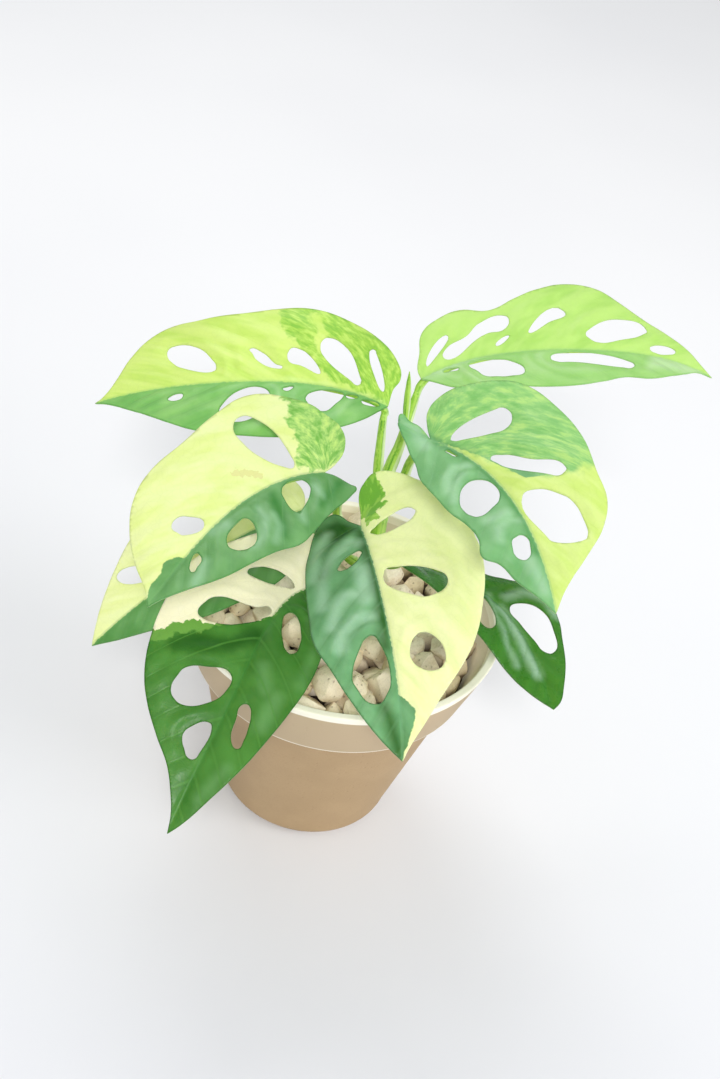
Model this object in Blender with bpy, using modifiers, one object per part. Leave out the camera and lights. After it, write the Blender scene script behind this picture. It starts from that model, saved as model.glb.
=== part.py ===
"""Monstera adansonii with cream, lime and green leaves, in a beige pot 12 cm across.

Blender's unit is the metre and +Z points up. The origin is the centre of the pot's
flat underside. Sizes below are in millimetres and are turned into metres by MM.
"""
import math
import random
from dataclasses import dataclass

import bmesh
import bpy
import numpy as np

MM = 0.001
GAP = 0.3  # between pieces that rest on each other

# Pot: a tapered body under a tapered rim band, which stands a little proud of it
POT_HEIGHT = 96.0
RIM_RADIUS = 60.0
BAND_HEIGHT = 24.4
BAND_FOOT_RADIUS = 53.0
BODY_TOP_RADIUS = 49.8
BODY_FOOT_RADIUS = 34.0
FOOT_ROUNDING = 6.0
WALL = 3.0
LIP_ROUNDING = 0.8
FLOOR = 4.0
TURN_STEPS = 44
DRAIN_HOLES = 4
DRAIN_RADIUS = 3.5
DRAIN_CIRCLE = 18.0

# What fills the pot: a plug of potting mix, then a bed of pumice stones
MIX_TOP = 77.0
BED_TOP = 82.0
STONE_SPACING = 10.5
STONE_SIZE = (10.5, 13.5)
STONE_CORNERS = 12
STONE_SEED = 9

# Stem: it stands straight in the pot's filling, then leans to its top
STEM_FOOT = 58.0
STEM_ROUTE = ((8, 20, STEM_FOOT), (8, 20, 90), (6.6, 18, 118), (5, 16, 144))
STEM_RADII = (3.4, 3.4, 3.0, 2.5)
STEM_HOLE_RADIUS = 3.9

# Leaf blades: fold is how far each half rises from the midrib, curl how fast it bends down
BLADE_THICKNESS = 0.8
BLADE_CELL = 7.0
BLADE_REACH = (-28.0, 119.0)
BLADE_HALF_SPAN = 38.0
FRAME_STEPS = 120
FOLD = (14, 12, 10, 8)
CURL = (0.5, 0.5, 0.5, 0.4)
LOBE_LIFT = 0.03  # how the lobes behind the petiole sweep up, per mm squared
PETIOLE_RADIUS = 1.3

GREEN = (0.11, 0.32, 0.09)
LIME = (0.62, 0.80, 0.24)
STALK_GREEN = (0.36, 0.60, 0.14)


@dataclass(frozen=True)
class Leaf:
    """One leaf: its place, its outline on both sides of the midrib, and its holes.

    Heading, pitch and roll are in degrees at even steps from base to tip. Outlines are
    (along the midrib, out from it) points. A hole is (side, start, end, width, egg),
    with side +1 left or -1 right as seen from the base, and egg above 0 for a hole
    that is wider near its outer end. The route is the petiole's, from stem to blade.
    """

    name: str
    colour: tuple
    length: float
    base: tuple
    heading: tuple
    pitch: tuple
    roll: tuple
    right: tuple
    left: tuple
    holes: tuple
    stem_height: float
    route: tuple


LEAVES = (
    Leaf(
        name="upper_left", colour=LIME, length=106.5, base=(0, 22.5, 169),
        heading=(172, 188, 185, 190), pitch=(13, -6, -19, -30), roll=(20, 20, 15),
        right=((1, 6), (0.5, 11.5), (3.5, 17.5), (11, 24.5), (19, 28), (29, 30.5), (41, 30.5), (55, 28.5),
               (68, 27.5), (79, 27), (86, 23), (93, 14.5), (98, 6.5), (103, 1.5)),
        left=((2, 4), (7, 11.5), (15, 18), (27, 22.5), (40, 25), (52, 24.5), (66, 21.5), (77.5, 17),
              (89.5, 10), (99, 4)),
        holes=((-1, (61, 4.5), (79.5, 15.5), 9.5, 0.15), (-1, (39, 4.3), (50.5, 12.3), 3.5, 0.2),
               (-1, (25.5, 3.5), (36.5, 12), 6.7, 0.2), (-1, (12, 3), (25.5, 17.5), 8.3, 0.2),
               (-1, (4, 3.2), (11.5, 18), 2.8, 0.4), (1, (72.5, 5.2), (77.5, 7.7), 3.2, 0),
               (1, (42.5, 5), (57.5, 17.5), 12.5, 0.2), (1, (34, 2.5), (37.5, 4.5), 1.8, 0),
               (1, (15.3, 3.5), (28.5, 10.6), 9.2, 0.2), (1, (11.3, 1.6), (14.7, 3.5), 1.5, 0),
               (1, (3.2, 1.6), (8.8, 3.8), 2.2, 0)),
        stem_height=124, route=((1.5, 21.5, 141), (-0.2, 21.5, 156)),
    ),
    Leaf(
        name="upper_right", colour=LIME, length=116, base=(9, 18, 186),
        heading=(44, 23, 22, 10), pitch=(21, 6, -5, -24), roll=(-15, -18, -12),
        right=((3, 5.5), (8, 11), (17, 14.5), (28, 15.5), (42, 17), (54, 17.5), (64, 15.5), (74, 12.5),
               (85, 12.5), (94, 9.5), (102, 5.5), (109, 1.7)),
        left=((0.5, 3), (4, 8), (8, 14.5), (15, 18), (22, 19.5), (31, 17.5), (40, 21), (49, 25),
              (61, 28.5), (72, 26.5), (80, 21), (88, 16), (96, 12), (105, 6.5), (111, 2.2)),
        holes=((-1, (8, 1.6), (13.6, 3.2), 1.6, 0), (-1, (17, 3.7), (36.2, 9.5), 8.6, 0),
               (-1, (47.5, 3), (79.5, 6.5), 6, -0.1), (1, (4.4, 2.6), (15, 10.6), 1.3, 0),
               (1, (10.5, 3), (36.7, 13.2), 6.3, 0.2), (1, (29.5, 3), (35, 6.5), 1.3, 0),
               (1, (42, 6.3), (58, 16), 1.4, 0), (1, (63.5, 5.5), (89, 11.5), 8.2, 0.1),
               (1, (88.4, 2.4), (99.6, 4), 2.8, -0.2)),
        stem_height=144, route=((6.6, 16.2, 158), (7.4, 16.6, 171)),
    ),
    Leaf(
        name="middle_left", colour=LIME, length=83, base=(-15.5, -14, 162),
        heading=(-150, -126, -113, -111), pitch=(6, -8, -15, -24), roll=(25, 10, -5),
        right=((-4, 2.5), (-7.5, 7), (-7.5, 14.5), (-2, 21.5), (5, 28), (13, 32.5), (23, 30.5), (33, 28.5),
               (44, 28.5), (54, 26), (64, 20), (72, 12.5), (79, 3.5)),
        left=((-3, 1.8), (-6.8, 6), (-8.3, 7.8), (-6.5, 10), (1.5, 15.5), (10, 19.2), (21, 22.7), (31, 24),
              (40, 22), (52, 18.5), (63.5, 14), (72, 8.5), (79.5, 2.5)),
        holes=((-1, (12, 2.7), (20, 25.5), 9.6, 0.35), (-1, (48.3, 3.3), (57, 10), 6.4, 0.2),
               (1, (10.5, 1.8), (21.5, 13), 8.8, 0.1), (1, (37, 6.5), (50.8, 12.7), 8.3, 0.1),
               (1, (59, 2.5), (66.2, 5.3), 3, -0.1)),
        stem_height=106, route=((-3.5, 13, 116), (-8.6, 9.5, 126), (-9.8, 3, 139), (-11.8, -6, 152.5)),
    ),
    Leaf(
        name="front", colour=GREEN, length=98, base=(0, -6, 137),
        heading=(-71, -71, -72, -78), pitch=(10, -4, -14, -24), roll=(-35, -20, -8),
        right=((-3.5, 3), (-8, 6), (-8.5, 8.5), (-4.5, 15.5), (6.5, 20.5), (22, 23.5), (40, 25),
               (54.5, 24.5), (65, 20.5), (77, 15.5), (88, 9.5), (95, 3.5)),
        left=((-4.5, 1.7), (-11, 4.5), (-13, 8.5), (-13.5, 13), (-9, 21), (-1.5, 26), (10, 31.5),
              (25.5, 35.5), (37, 35.5), (50.5, 31.5), (61.5, 26.5), (70.5, 20), (77.5, 14),
              (86, 7.5), (94, 2)),
        holes=((1, (8, 2.5), (11.5, 19.5), 5.5, 0), (1, (27, 2), (43, 20.5), 10, 0.3),
               (1, (54.5, 9), (70, 13), 11, 0.1), (-1, (14.5, 3), (23, 12), 4.5, 0),
               (-1, (53, 6.5), (79, 9), 11.5, 0.1)),
        stem_height=112, route=((4.5, 8, 121), (1.5, 0, 129)),
    ),
    Leaf(
        name="middle_right", colour=GREEN, length=84, base=(16, -7, 180),
        heading=(-23, -49, -64, -72), pitch=(8, 1, -9, -18), roll=(-30, -18, -8),
        right=((-4, 2), (-8, 5), (-9, 9), (-5, 12), (1, 13.5), (8, 16.5), (15, 18.7), (25, 20), (35, 20),
               (43, 18.5), (53, 17.2), (61, 18), (64.5, 13.7), (72, 10), (78, 5.2), (82, 1.8)),
        left=((-3.2, 2.5), (-4.6, 8), (-3, 15), (1.5, 21), (6.5, 27), (13, 32.5), (23, 33.3), (32.5, 31.7),
              (42, 28.5), (50.5, 27), (58.5, 22), (67, 13.5), (76.5, 4.5)),
        holes=((1, (8, 1.8), (16.5, 21), 6.6, 0.35), (1, (22, 3.5), (40, 19), 5.2, 0.1),
               (1, (38.5, 4.5), (62, 13.8), 14.2, 0.1), (-1, (6.8, 1.6), (12.6, 2.8), 1.3, 0),
               (-1, (25.7, 4), (42.3, 14.3), 13.2, 0), (-1, (54, 3.9), (64.4, 6.6), 5.8, 0)),
        stem_height=130, route=((10.5, 17, 141), (12, 13, 155), (14, 4, 167.5)),
    ),
    Leaf(
        name="front_left", colour=GREEN, length=106, base=(-13, -22, 117),
        heading=(-127, -99, -104, -100), pitch=(12, -9, -29, -42), roll=(20, 8, 2),
        right=((-8.5, 6), (-11.5, 11), (-11.5, 16), (-8, 20.5), (-1, 23.2), (11.5, 28), (24, 33.5),
               (37.5, 34), (49, 33), (62, 29.5), (71, 24.5), (80, 16.5), (87, 9), (93.5, 4.5), (100, 1.3)),
        left=((-2.5, 3.5), (-1.5, 8.5), (6, 15), (19, 19.5), (30, 21), (45, 21), (56, 19), (66, 16.5),
              (79, 13), (91.5, 8), (102, 3)),
        holes=((-1, (4.5, 2.5), (15.2, 17.5), 5.2, 0.1), (-1, (22, 1.8), (37, 22.8), 9.4, 0.3),
               (-1, (51.2, 2.7), (65.8, 18.7), 13.4, 0.15), (-1, (68.2, 3), (82, 6.3), 8.6, 0.1),
               (1, (16.8, 4.3), (35.2, 12.2), 6.7, -0.1), (1, (58.2, 5), (73.5, 8.3), 4.8, -0.1)),
        stem_height=94, route=((2, 6, 97), (-6, -9, 107)),
    ),
    Leaf(
        name="lower_left", colour=LIME, length=96, base=(-22, 18, 119),
        heading=(-135, -129, -128, -122), pitch=(1, -8, -18, -24), roll=(14, 10, 8),
        right=((-4.5, 3), (-6.5, 7.5), (-4, 12.5), (4, 19), (14, 22.5), (25, 25), (37, 26), (48, 25.5),
               (59, 22), (69.5, 17), (81.5, 10), (91, 3.5)),
        left=((-2, 5), (1.5, 11.5), (8.5, 17), (18, 20.7), (32, 24), (48, 23), (62.5, 19),
              (78.5, 11.5), (88, 6)),
        holes=((-1, (62, 4.8), (73.5, 12.8), 6.5, 0.2), (-1, (50, 3.5), (57.5, 12), 5, 0.1),
               (-1, (27, 6), (37, 20), 7, 0.2), (-1, (9, 4), (19, 17), 5.5, 0.2),
               (1, (10, 3), (20, 11), 5, 0.2), (1, (28, 3), (42, 12), 7, 0.1),
               (1, (52, 3.5), (66, 9.5), 6, 0.1)),
        stem_height=96, route=((-1, 22, 103), (-12, 21.5, 112)),
    ),
    Leaf(
        name="lower_right", colour=GREEN, length=86, base=(16.5, 8, 116),
        heading=(-9, -26, -53, -63), pitch=(8, -3, -12, -17), roll=(22, 6, -5),
        right=((-4, 5), (-3, 11), (3, 16), (12, 20.5), (24, 23.5), (36, 23), (50, 19.3), (60, 16.8),
               (70, 13), (77.5, 8.5), (83, 3.8), (85.5, 1.8)),
        left=((-3, 5), (-2, 11), (4, 14.5), (12, 14), (21, 10.5), (29, 9), (35, 12.5), (41, 17),
              (48, 18.5), (55, 16.5), (62, 12.5), (70, 9.5), (78, 6.2), (84, 3.4), (86, 1.5)),
        holes=((-1, (31.5, 3.7), (50, 13.3), 8, 0.2), (1, (44, 6), (65.5, 9), 11.5, 0),
               (-1, (7, 2), (18, 7), 4.5, 0.1), (1, (5, 2.5), (15, 8.5), 5, 0.1)),
        stem_height=100, route=((12.5, 13, 106),),
    ),
)

# New leaf, still rolled: it stands up beside the petiole of the upper right leaf
SPEAR_ROUTE = ((6.9, 13.5, 171.5), (5.6, 13.3, 182), (4.4, 13, 191))
SPEAR_RADII = (1.2, 1.2, 0.3)


def empty_scene():
    """Take away whatever the opened file holds."""
    for item in list(bpy.data.objects):
        bpy.data.objects.remove(item, do_unlink=True)


def paint(item, name, colour, roughness):
    """Give an object a Principled material of its own."""
    material = bpy.data.materials.new(name)
    material.use_nodes = True
    shader = material.node_tree.nodes["Principled BSDF"]
    shader.inputs["Base Color"].default_value = (*colour, 1.0)
    shader.inputs["Roughness"].default_value = roughness
    item.data.materials.clear()
    item.data.materials.append(material)
    return item


def link(name, data):
    """Put a mesh or curve in the scene as an object."""
    item = bpy.data.objects.new(name, data)
    bpy.context.scene.collection.objects.link(item)
    return item


def baked(item):
    """Turn an object and its modifiers into a plain welded mesh object of the same name."""
    bpy.context.view_layer.update()
    graph = bpy.context.evaluated_depsgraph_get()
    mesh = bpy.data.meshes.new_from_object(item.evaluated_get(graph))
    mesh.transform(item.matrix_world)
    bm = bmesh.new()
    bm.from_mesh(mesh)
    bmesh.ops.remove_doubles(bm, verts=bm.verts, dist=0.02 * MM)
    bm.to_mesh(mesh)
    bm.free()
    name = item.name
    bpy.data.objects.remove(item, do_unlink=True)
    return link(name, mesh)


def boolean(item, operation, other):
    """Cut, join or intersect with one object or with a whole collection, then apply it."""
    step = item.modifiers.new(operation.lower(), "BOOLEAN")
    step.operation = operation
    step.solver = "EXACT"
    if isinstance(other, bpy.types.Collection):
        step.operand_type = "COLLECTION"
        step.collection = other
        helpers = list(other.objects)
    else:
        step.object = other
        helpers = [other]
    for helper in helpers:
        helper.hide_render = True
        helper.display_type = "WIRE"
    result = baked(item)
    for helper in helpers:
        bpy.data.objects.remove(helper, do_unlink=True)
    return result


def turned(name, profile):
    """Turn a profile of (radius, height) points, listed down the outer side, about Z."""
    mesh = bpy.data.meshes.new(name)
    points = [(radius * MM, 0, height * MM) for radius, height in profile]
    mesh.from_pydata(points, [(i, i + 1) for i in range(len(points) - 1)], [])
    item = link(name, mesh)
    screw = item.modifiers.new("turn", "SCREW")
    screw.axis = "Z"
    screw.steps = TURN_STEPS
    screw.render_steps = TURN_STEPS
    screw.use_merge_vertices = True
    screw.use_smooth_shade = False
    return baked(item)


def cylinder(name, centre, radius, low, high):
    """An upright round cutter."""
    bpy.ops.mesh.primitive_cylinder_add(
        vertices=20, radius=radius * MM, depth=(high - low) * MM,
        location=(centre[0] * MM, centre[1] * MM, (low + high) / 2 * MM),
    )
    item = bpy.context.object
    item.name = name
    return item


def tube(name, route, radii, resolution=5):
    """A round stalk with filled ends along a smooth route."""
    curve = bpy.data.curves.new(name, "CURVE")
    curve.dimensions = "3D"
    curve.resolution_u = resolution
    curve.bevel_depth = MM
    curve.bevel_resolution = 1
    curve.use_fill_caps = True
    spline = curve.splines.new("BEZIER")
    spline.bezier_points.add(len(route) - 1)
    for point, place, radius in zip(spline.bezier_points, route, radii):
        point.co = [value * MM for value in place]
        point.radius = radius
        point.handle_left_type = "AUTO"
        point.handle_right_type = "AUTO"
    return baked(link(name, curve))


def arc(centre, radius, start, end, steps):
    """Points of a round stretch of a profile, with angles in degrees from +X."""
    turns = [math.radians(start + (end - start) * i / steps) for i in range(steps + 1)]
    return [(centre[0] + radius * math.cos(t), centre[1] + radius * math.sin(t)) for t in turns]


def inner_profile():
    """The pot's inner side, from its floor up to the rim."""
    step = POT_HEIGHT - BAND_HEIGHT
    return [
        (BODY_FOOT_RADIUS - WALL, FLOOR),
        (BODY_TOP_RADIUS - WALL, step),
        (BAND_FOOT_RADIUS - WALL, step + WALL),
        (RIM_RADIUS - WALL, POT_HEIGHT),
    ]


def inner_radius(height):
    """How wide the pot is inside at a height."""
    radii, heights = zip(*inner_profile())
    return float(np.interp(height, heights, radii))


def make_pot():
    """The pot with its rim band, rounded foot and drain holes."""
    step = POT_HEIGHT - BAND_HEIGHT
    inside = inner_profile()
    lip = LIP_ROUNDING
    inner_lip = arc((RIM_RADIUS - WALL + lip, POT_HEIGHT - lip), lip, 180, 90, 2)
    outer_lip = arc((RIM_RADIUS - lip, POT_HEIGHT - lip), lip, 90, 0, 2)
    foot = arc((BODY_FOOT_RADIUS - FOOT_ROUNDING, FOOT_ROUNDING), FOOT_ROUNDING, 0, -90, 4)
    profile = [(0, FLOOR), *inside[:-1], *inner_lip, *outer_lip]
    profile += [(BAND_FOOT_RADIUS + 0.2, step + 0.8), (BAND_FOOT_RADIUS - 0.6, step)]
    profile += [(BODY_TOP_RADIUS, step), *foot, (0, 0)]
    pot = turned("pot", profile)
    cutters = bpy.data.collections.new("drain cutters")
    for i in range(DRAIN_HOLES):
        turn = math.tau * (i + 0.5) / DRAIN_HOLES
        centre = (DRAIN_CIRCLE * math.cos(turn), DRAIN_CIRCLE * math.sin(turn))
        cutter = cylinder(f"drain {i}", centre, DRAIN_RADIUS, -1, FLOOR + 1)
        cutters.objects.link(cutter)
    pot = boolean(pot, "DIFFERENCE", cutters)
    return paint(pot, "beige pot", (0.68, 0.56, 0.43), 0.75)


def make_mix():
    """The potting mix: a plug with a blind hole that the stem stands in."""
    step = POT_HEIGHT - BAND_HEIGHT
    low, top = FLOOR + GAP, MIX_TOP
    profile = [(0, top), (inner_radius(top) - GAP, top), (inner_radius(step + WALL) - GAP, step + WALL)]
    profile += [(inner_radius(step) - GAP, step), (inner_radius(low) - GAP, low), (0, low)]
    mix = turned("potting_mix", profile)
    hole = cylinder("stem hole", STEM_ROUTE[0], STEM_HOLE_RADIUS, STEM_FOOT - GAP, top + 5)
    mix = boolean(mix, "DIFFERENCE", hole)
    return paint(mix, "potting mix", (0.09, 0.06, 0.04), 0.95)


def stone(name, draw, x, y):
    """One angular stone: the hull of points drawn on a tilted ovoid, kept inside the pot."""
    size = draw.uniform(*STONE_SIZE) / 2
    stretch = (size, size * draw.uniform(0.72, 0.9), size * draw.uniform(0.6, 0.8))
    turn = draw.uniform(0, math.tau)
    height = BED_TOP + draw.uniform(-0.6, 1.0)
    bm = bmesh.new()
    for _ in range(STONE_CORNERS):
        corner = [draw.gauss(0, 1) for _ in range(3)]
        length = math.hypot(*corner)
        px, py, pz = [part / length * reach for part, reach in zip(corner, stretch)]
        wx = x + px * math.cos(turn) - py * math.sin(turn)
        wy = y + px * math.sin(turn) + py * math.cos(turn)
        wz = max(height + pz, BED_TOP - 3.5)
        reach = math.hypot(wx, wy)
        limit = inner_radius(wz) - 0.9
        if reach > limit:
            wx, wy = wx * limit / reach, wy * limit / reach
        bm.verts.new((wx * MM, wy * MM, wz * MM))
    hull = bmesh.ops.convex_hull(bm, input=bm.verts)
    spare = [part for part in hull["geom_interior"] if isinstance(part, bmesh.types.BMVert)]
    bmesh.ops.delete(bm, geom=spare, context="VERTS")
    bmesh.ops.recalc_face_normals(bm, faces=bm.faces)
    mesh = bpy.data.meshes.new(name)
    bm.to_mesh(mesh)
    bm.free()
    return link(name, mesh)


def make_pumice():
    """The pumice bed: a thin slab whose top is covered with stones, with a hole for the stem."""
    draw = random.Random(STONE_SEED)
    low = MIX_TOP + GAP
    edge_low, edge_top = inner_radius(low) - GAP, inner_radius(BED_TOP) - GAP
    bed = turned("pumice_stones", [(0, BED_TOP), (edge_top, BED_TOP), (edge_low, low), (0, low)])
    stones = bpy.data.collections.new("stones")
    reach = inner_radius(BED_TOP) - 4.5
    rows = int(reach / STONE_SPACING / 0.866) + 1
    for row in range(-rows, rows + 1):
        for column in range(-rows, rows + 1):
            x = (column + 0.5 * (row % 2)) * STONE_SPACING + draw.uniform(-1.4, 1.4)
            y = row * STONE_SPACING * 0.866 + draw.uniform(-1.4, 1.4)
            if math.hypot(x, y) < reach:
                stones.objects.link(stone(f"stone {row} {column}", draw, x, y))
    bed = boolean(bed, "UNION", stones)
    hole = cylinder("stem hole", STEM_ROUTE[0], STEM_HOLE_RADIUS, low - 5, BED_TOP + 20)
    bed = boolean(bed, "DIFFERENCE", hole)
    return paint(bed, "pumice", (0.62, 0.52, 0.38), 0.9)


def along(values, place):
    """A smooth value at a place (0 base, 1 tip) through values given at even steps."""
    steps = np.linspace(0, 1, len(values))
    return np.polyval(np.polyfit(steps, values, len(values) - 1), place)


def midrib_frames(leaf):
    """Midrib points with forward, left and upward directions, from base to tip."""
    place = np.linspace(0, 1, FRAME_STEPS + 1)
    heading, pitch, roll = (np.radians(along(v, place)) for v in (leaf.heading, leaf.pitch, leaf.roll))
    level = np.cos(pitch)
    forward = np.stack([level * np.cos(heading), level * np.sin(heading), np.sin(pitch)], 1)
    steps = (forward[1:] + forward[:-1]) / 2 * leaf.length / FRAME_STEPS
    points = np.vstack([[leaf.base], leaf.base + np.cumsum(steps, axis=0)])
    flat_left = np.stack([-np.sin(heading), np.cos(heading), 0 * heading], 1)
    flat_up = np.cross(forward, flat_left)
    sine, cosine = np.sin(roll)[:, None], np.cos(roll)[:, None]
    left = cosine * flat_left - sine * flat_up
    upward = cosine * flat_up + sine * flat_left
    return points, forward, left, upward


def bent(leaf, flat):
    """Where points of the flat blade (along the midrib, to its left) lie on the bent leaf."""
    frames = midrib_frames(leaf)
    place = np.clip(flat[:, 0] / leaf.length, 0, 1)
    index = place * FRAME_STEPS
    low = np.minimum(index.astype(int), FRAME_STEPS - 1)
    share = (index - low)[:, None]
    point, forward, left, upward = (part[low] * (1 - share) + part[low + 1] * share for part in frames)
    beyond = flat[:, 0] - place * leaf.length
    fold = np.radians(along(FOLD, place))
    curl = np.radians(along(CURL, place))
    out = np.abs(flat[:, 1])
    across = np.sign(flat[:, 1]) * (np.sin(fold) - np.sin(fold - curl * out)) / curl
    rise = (np.cos(fold - curl * out) - np.cos(fold)) / curl + LOBE_LIFT * np.minimum(flat[:, 0], 0) ** 2
    return point + forward * beyond[:, None] + left * across[:, None] + upward * rise[:, None]


def add_loop(curve, points, smooth):
    """Add a closed outline to a flat curve, smooth through all points but the sharp ones."""
    spline = curve.splines.new("BEZIER" if smooth else "POLY")
    knots = spline.bezier_points if smooth else spline.points
    knots.add(len(points) - 1)
    for knot, (x, y, sharp) in zip(knots, points):
        if smooth:
            knot.co = (x * MM, y * MM, 0)
            knot.handle_left_type = knot.handle_right_type = "VECTOR" if sharp else "AUTO"
        else:
            knot.co = (x * MM, y * MM, 0, 1)
    spline.use_cyclic_u = True


def hole_points(hole, count=12):
    """The egg-shaped outline of one hole on the flat blade."""
    side, start, end, width, egg = hole
    half = np.subtract(end, start) / 2
    centre = np.add(end, start) / 2
    length = math.hypot(*half)
    across = np.array([-half[1], half[0]]) / length
    points = []
    for turn in np.linspace(0, math.tau, count, endpoint=False):
        bulge = width / 2 * math.sin(turn) * (1 + egg * math.cos(turn))
        x, y = centre + half * math.cos(turn) + across * bulge
        points.append((x, y * side, False))
    return points


def blade_sheet(leaf):
    """The flat blade as a one-sided mesh of cells, cut to the leaf's outline and holes."""
    flat = bpy.data.curves.new("outline", "CURVE")
    flat.dimensions = "2D"
    flat.fill_mode = "BOTH"
    flat.resolution_u = 3
    flat.extrude = 5 * MM
    outline = [(0, 0, True)] + [(x, -y, False) for x, y in leaf.right]
    outline += [(leaf.length, 0, True)] + [(x, y, False) for x, y in reversed(leaf.left)]
    add_loop(flat, outline, smooth=True)
    for hole in leaf.holes:
        add_loop(flat, hole_points(hole), smooth=False)
    cutter = baked(link("outline", flat))
    reach, span = BLADE_REACH, BLADE_HALF_SPAN
    across = 2 * round(span / BLADE_CELL)
    bm = bmesh.new()
    along_blade = round((reach[1] - reach[0]) / BLADE_CELL)
    bmesh.ops.create_grid(bm, x_segments=along_blade, y_segments=across, size=0.5)
    bmesh.ops.scale(bm, vec=((reach[1] - reach[0]) * MM, 2 * span * MM, 1), verts=bm.verts)
    bmesh.ops.translate(bm, vec=((reach[0] + reach[1]) / 2 * MM, 0, 1 * MM), verts=bm.verts)
    raised = bmesh.ops.extrude_face_region(bm, geom=bm.faces[:])
    lowered = [part for part in raised["geom"] if isinstance(part, bmesh.types.BMVert)]
    bmesh.ops.translate(bm, vec=(0, 0, -2 * MM), verts=lowered)
    bmesh.ops.recalc_face_normals(bm, faces=bm.faces)
    mesh = bpy.data.meshes.new(f"leaf_{leaf.name}")
    bm.to_mesh(mesh)
    bm.free()
    sheet = boolean(link(mesh.name, mesh), "INTERSECT", cutter)
    bm = bmesh.new()
    bm.from_mesh(sheet.data)
    spare = [face for face in bm.faces if face.normal.z < 0.9]
    bmesh.ops.delete(bm, geom=spare, context="FACES")
    bmesh.ops.triangulate(bm, faces=bm.faces)
    bm.to_mesh(sheet.data)
    bm.free()
    return sheet


def make_blade(leaf):
    """A leaf blade: the flat sheet bent to its place in the air and given its thickness."""
    sheet = blade_sheet(leaf)
    flat = np.array([vert.co[:2] for vert in sheet.data.vertices]) / MM
    for vert, place in zip(sheet.data.vertices, bent(leaf, flat)):
        vert.co = place * MM
    solid = sheet.modifiers.new("thickness", "SOLIDIFY")
    solid.thickness = BLADE_THICKNESS * MM
    solid.offset = 0
    return paint(baked(sheet), f"leaf {leaf.name}", leaf.colour, 0.45)


def stem_axis(height):
    """The middle of the stem at a height."""
    xs, ys, heights = zip(*STEM_ROUTE)
    return np.array([np.interp(height, heights, xs), np.interp(height, heights, ys), height])


def make_petiole(leaf):
    """A petiole: it leaves the stem's side, or its top, and ends under the blade's base."""
    low = PETIOLE_RADIUS + GAP + BLADE_THICKNESS / 2
    points, forward, _, upward = (part[0] for part in midrib_frames(leaf))
    before = points - forward * 4 - upward * (low + 0.8)
    end = points + forward * 1.5 - upward * low
    axis = stem_axis(leaf.stem_height)
    if leaf.stem_height >= STEM_ROUTE[-1][2]:
        start = axis + np.array([0, 0, 2 * GAP])
    else:
        outward = np.array(leaf.route[0]) - axis
        outward[2] = 0
        start = axis + outward / np.linalg.norm(outward) * (STEM_RADII[0] + 3.5 * GAP)
    route = [start, *leaf.route, before, end]
    item = tube(f"petiole_{leaf.name}", route, [PETIOLE_RADIUS] * len(route), resolution=4)
    return paint(item, f"petiole {leaf.name}", STALK_GREEN, 0.5)


def build():
    """Build every piece of the plant and its pot."""
    empty_scene()
    make_pot()
    make_mix()
    make_pumice()
    stem = tube("main_stem", STEM_ROUTE, STEM_RADII)
    paint(stem, "stem", STALK_GREEN, 0.5)
    for leaf in LEAVES:
        make_blade(leaf)
        make_petiole(leaf)
    spear = tube("new_leaf_spear", SPEAR_ROUTE, SPEAR_RADII)
    paint(spear, "rolled leaf", STALK_GREEN, 0.5)


build()
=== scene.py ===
"""Looks of a young monstera adansonii in its pot: pieces, finishes, studio and camera.

Sizes are in millimetres, and MM turns them into metres. A place on a blade is (along, out):
along the midrib from the joint with the petiole, and out from the midrib, above 0 to the
left as seen from the joint towards the tip.
"""

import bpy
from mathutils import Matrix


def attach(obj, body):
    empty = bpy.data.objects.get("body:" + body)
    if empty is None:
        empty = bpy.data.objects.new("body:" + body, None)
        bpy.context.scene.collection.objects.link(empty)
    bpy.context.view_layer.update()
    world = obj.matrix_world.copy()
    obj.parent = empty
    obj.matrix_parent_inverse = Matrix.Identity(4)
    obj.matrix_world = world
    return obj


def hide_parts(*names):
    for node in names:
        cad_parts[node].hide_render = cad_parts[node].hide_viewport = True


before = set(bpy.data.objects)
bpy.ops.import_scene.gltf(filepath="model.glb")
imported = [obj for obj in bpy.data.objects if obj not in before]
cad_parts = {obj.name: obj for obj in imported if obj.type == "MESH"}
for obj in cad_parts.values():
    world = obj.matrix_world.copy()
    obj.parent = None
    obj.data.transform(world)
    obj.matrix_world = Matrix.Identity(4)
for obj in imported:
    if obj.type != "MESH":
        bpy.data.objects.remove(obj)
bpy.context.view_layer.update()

import logging
import math
from collections import Counter
from collections.abc import Callable, Iterator
from contextlib import contextmanager
from dataclasses import dataclass, field
from enum import Enum

import bpy
import numpy as np
from bpy.types import (
    Material, Mesh, Node, NodeOutputs, NodeSocket as Socket, NodeTree, Object, bpy_prop_collection,
)
from mathutils import Matrix, Quaternion, Vector

MM = 0.001
Points = tuple[tuple[float, float], ...]
Place = tuple[float, float, float]


# Small tools for modelling


def colour(code: str) -> tuple[float, float, float, float]:
    """Turn a colour as seen on a screen into the linear one that a shader takes.

    Args:
        code: six hexadecimal digits.

    Returns:
        Red, green, blue and 1.
    """
    parts = [int(code[i:i + 2], 16) / 255 for i in (0, 2, 4)]
    linear = [p / 12.92 if p < 0.04045 else ((p + 0.055) / 1.055) ** 2.4 for p in parts]
    return (*linear, 1.0)


def select_only(*items: Object) -> None:
    """Select these objects alone and make the first one active.

    Args:
        items: the objects.
    """
    bpy.ops.object.select_all(action="DESELECT")
    for item in items:
        item.select_set(True)
    bpy.context.view_layer.objects.active = items[0]


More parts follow.
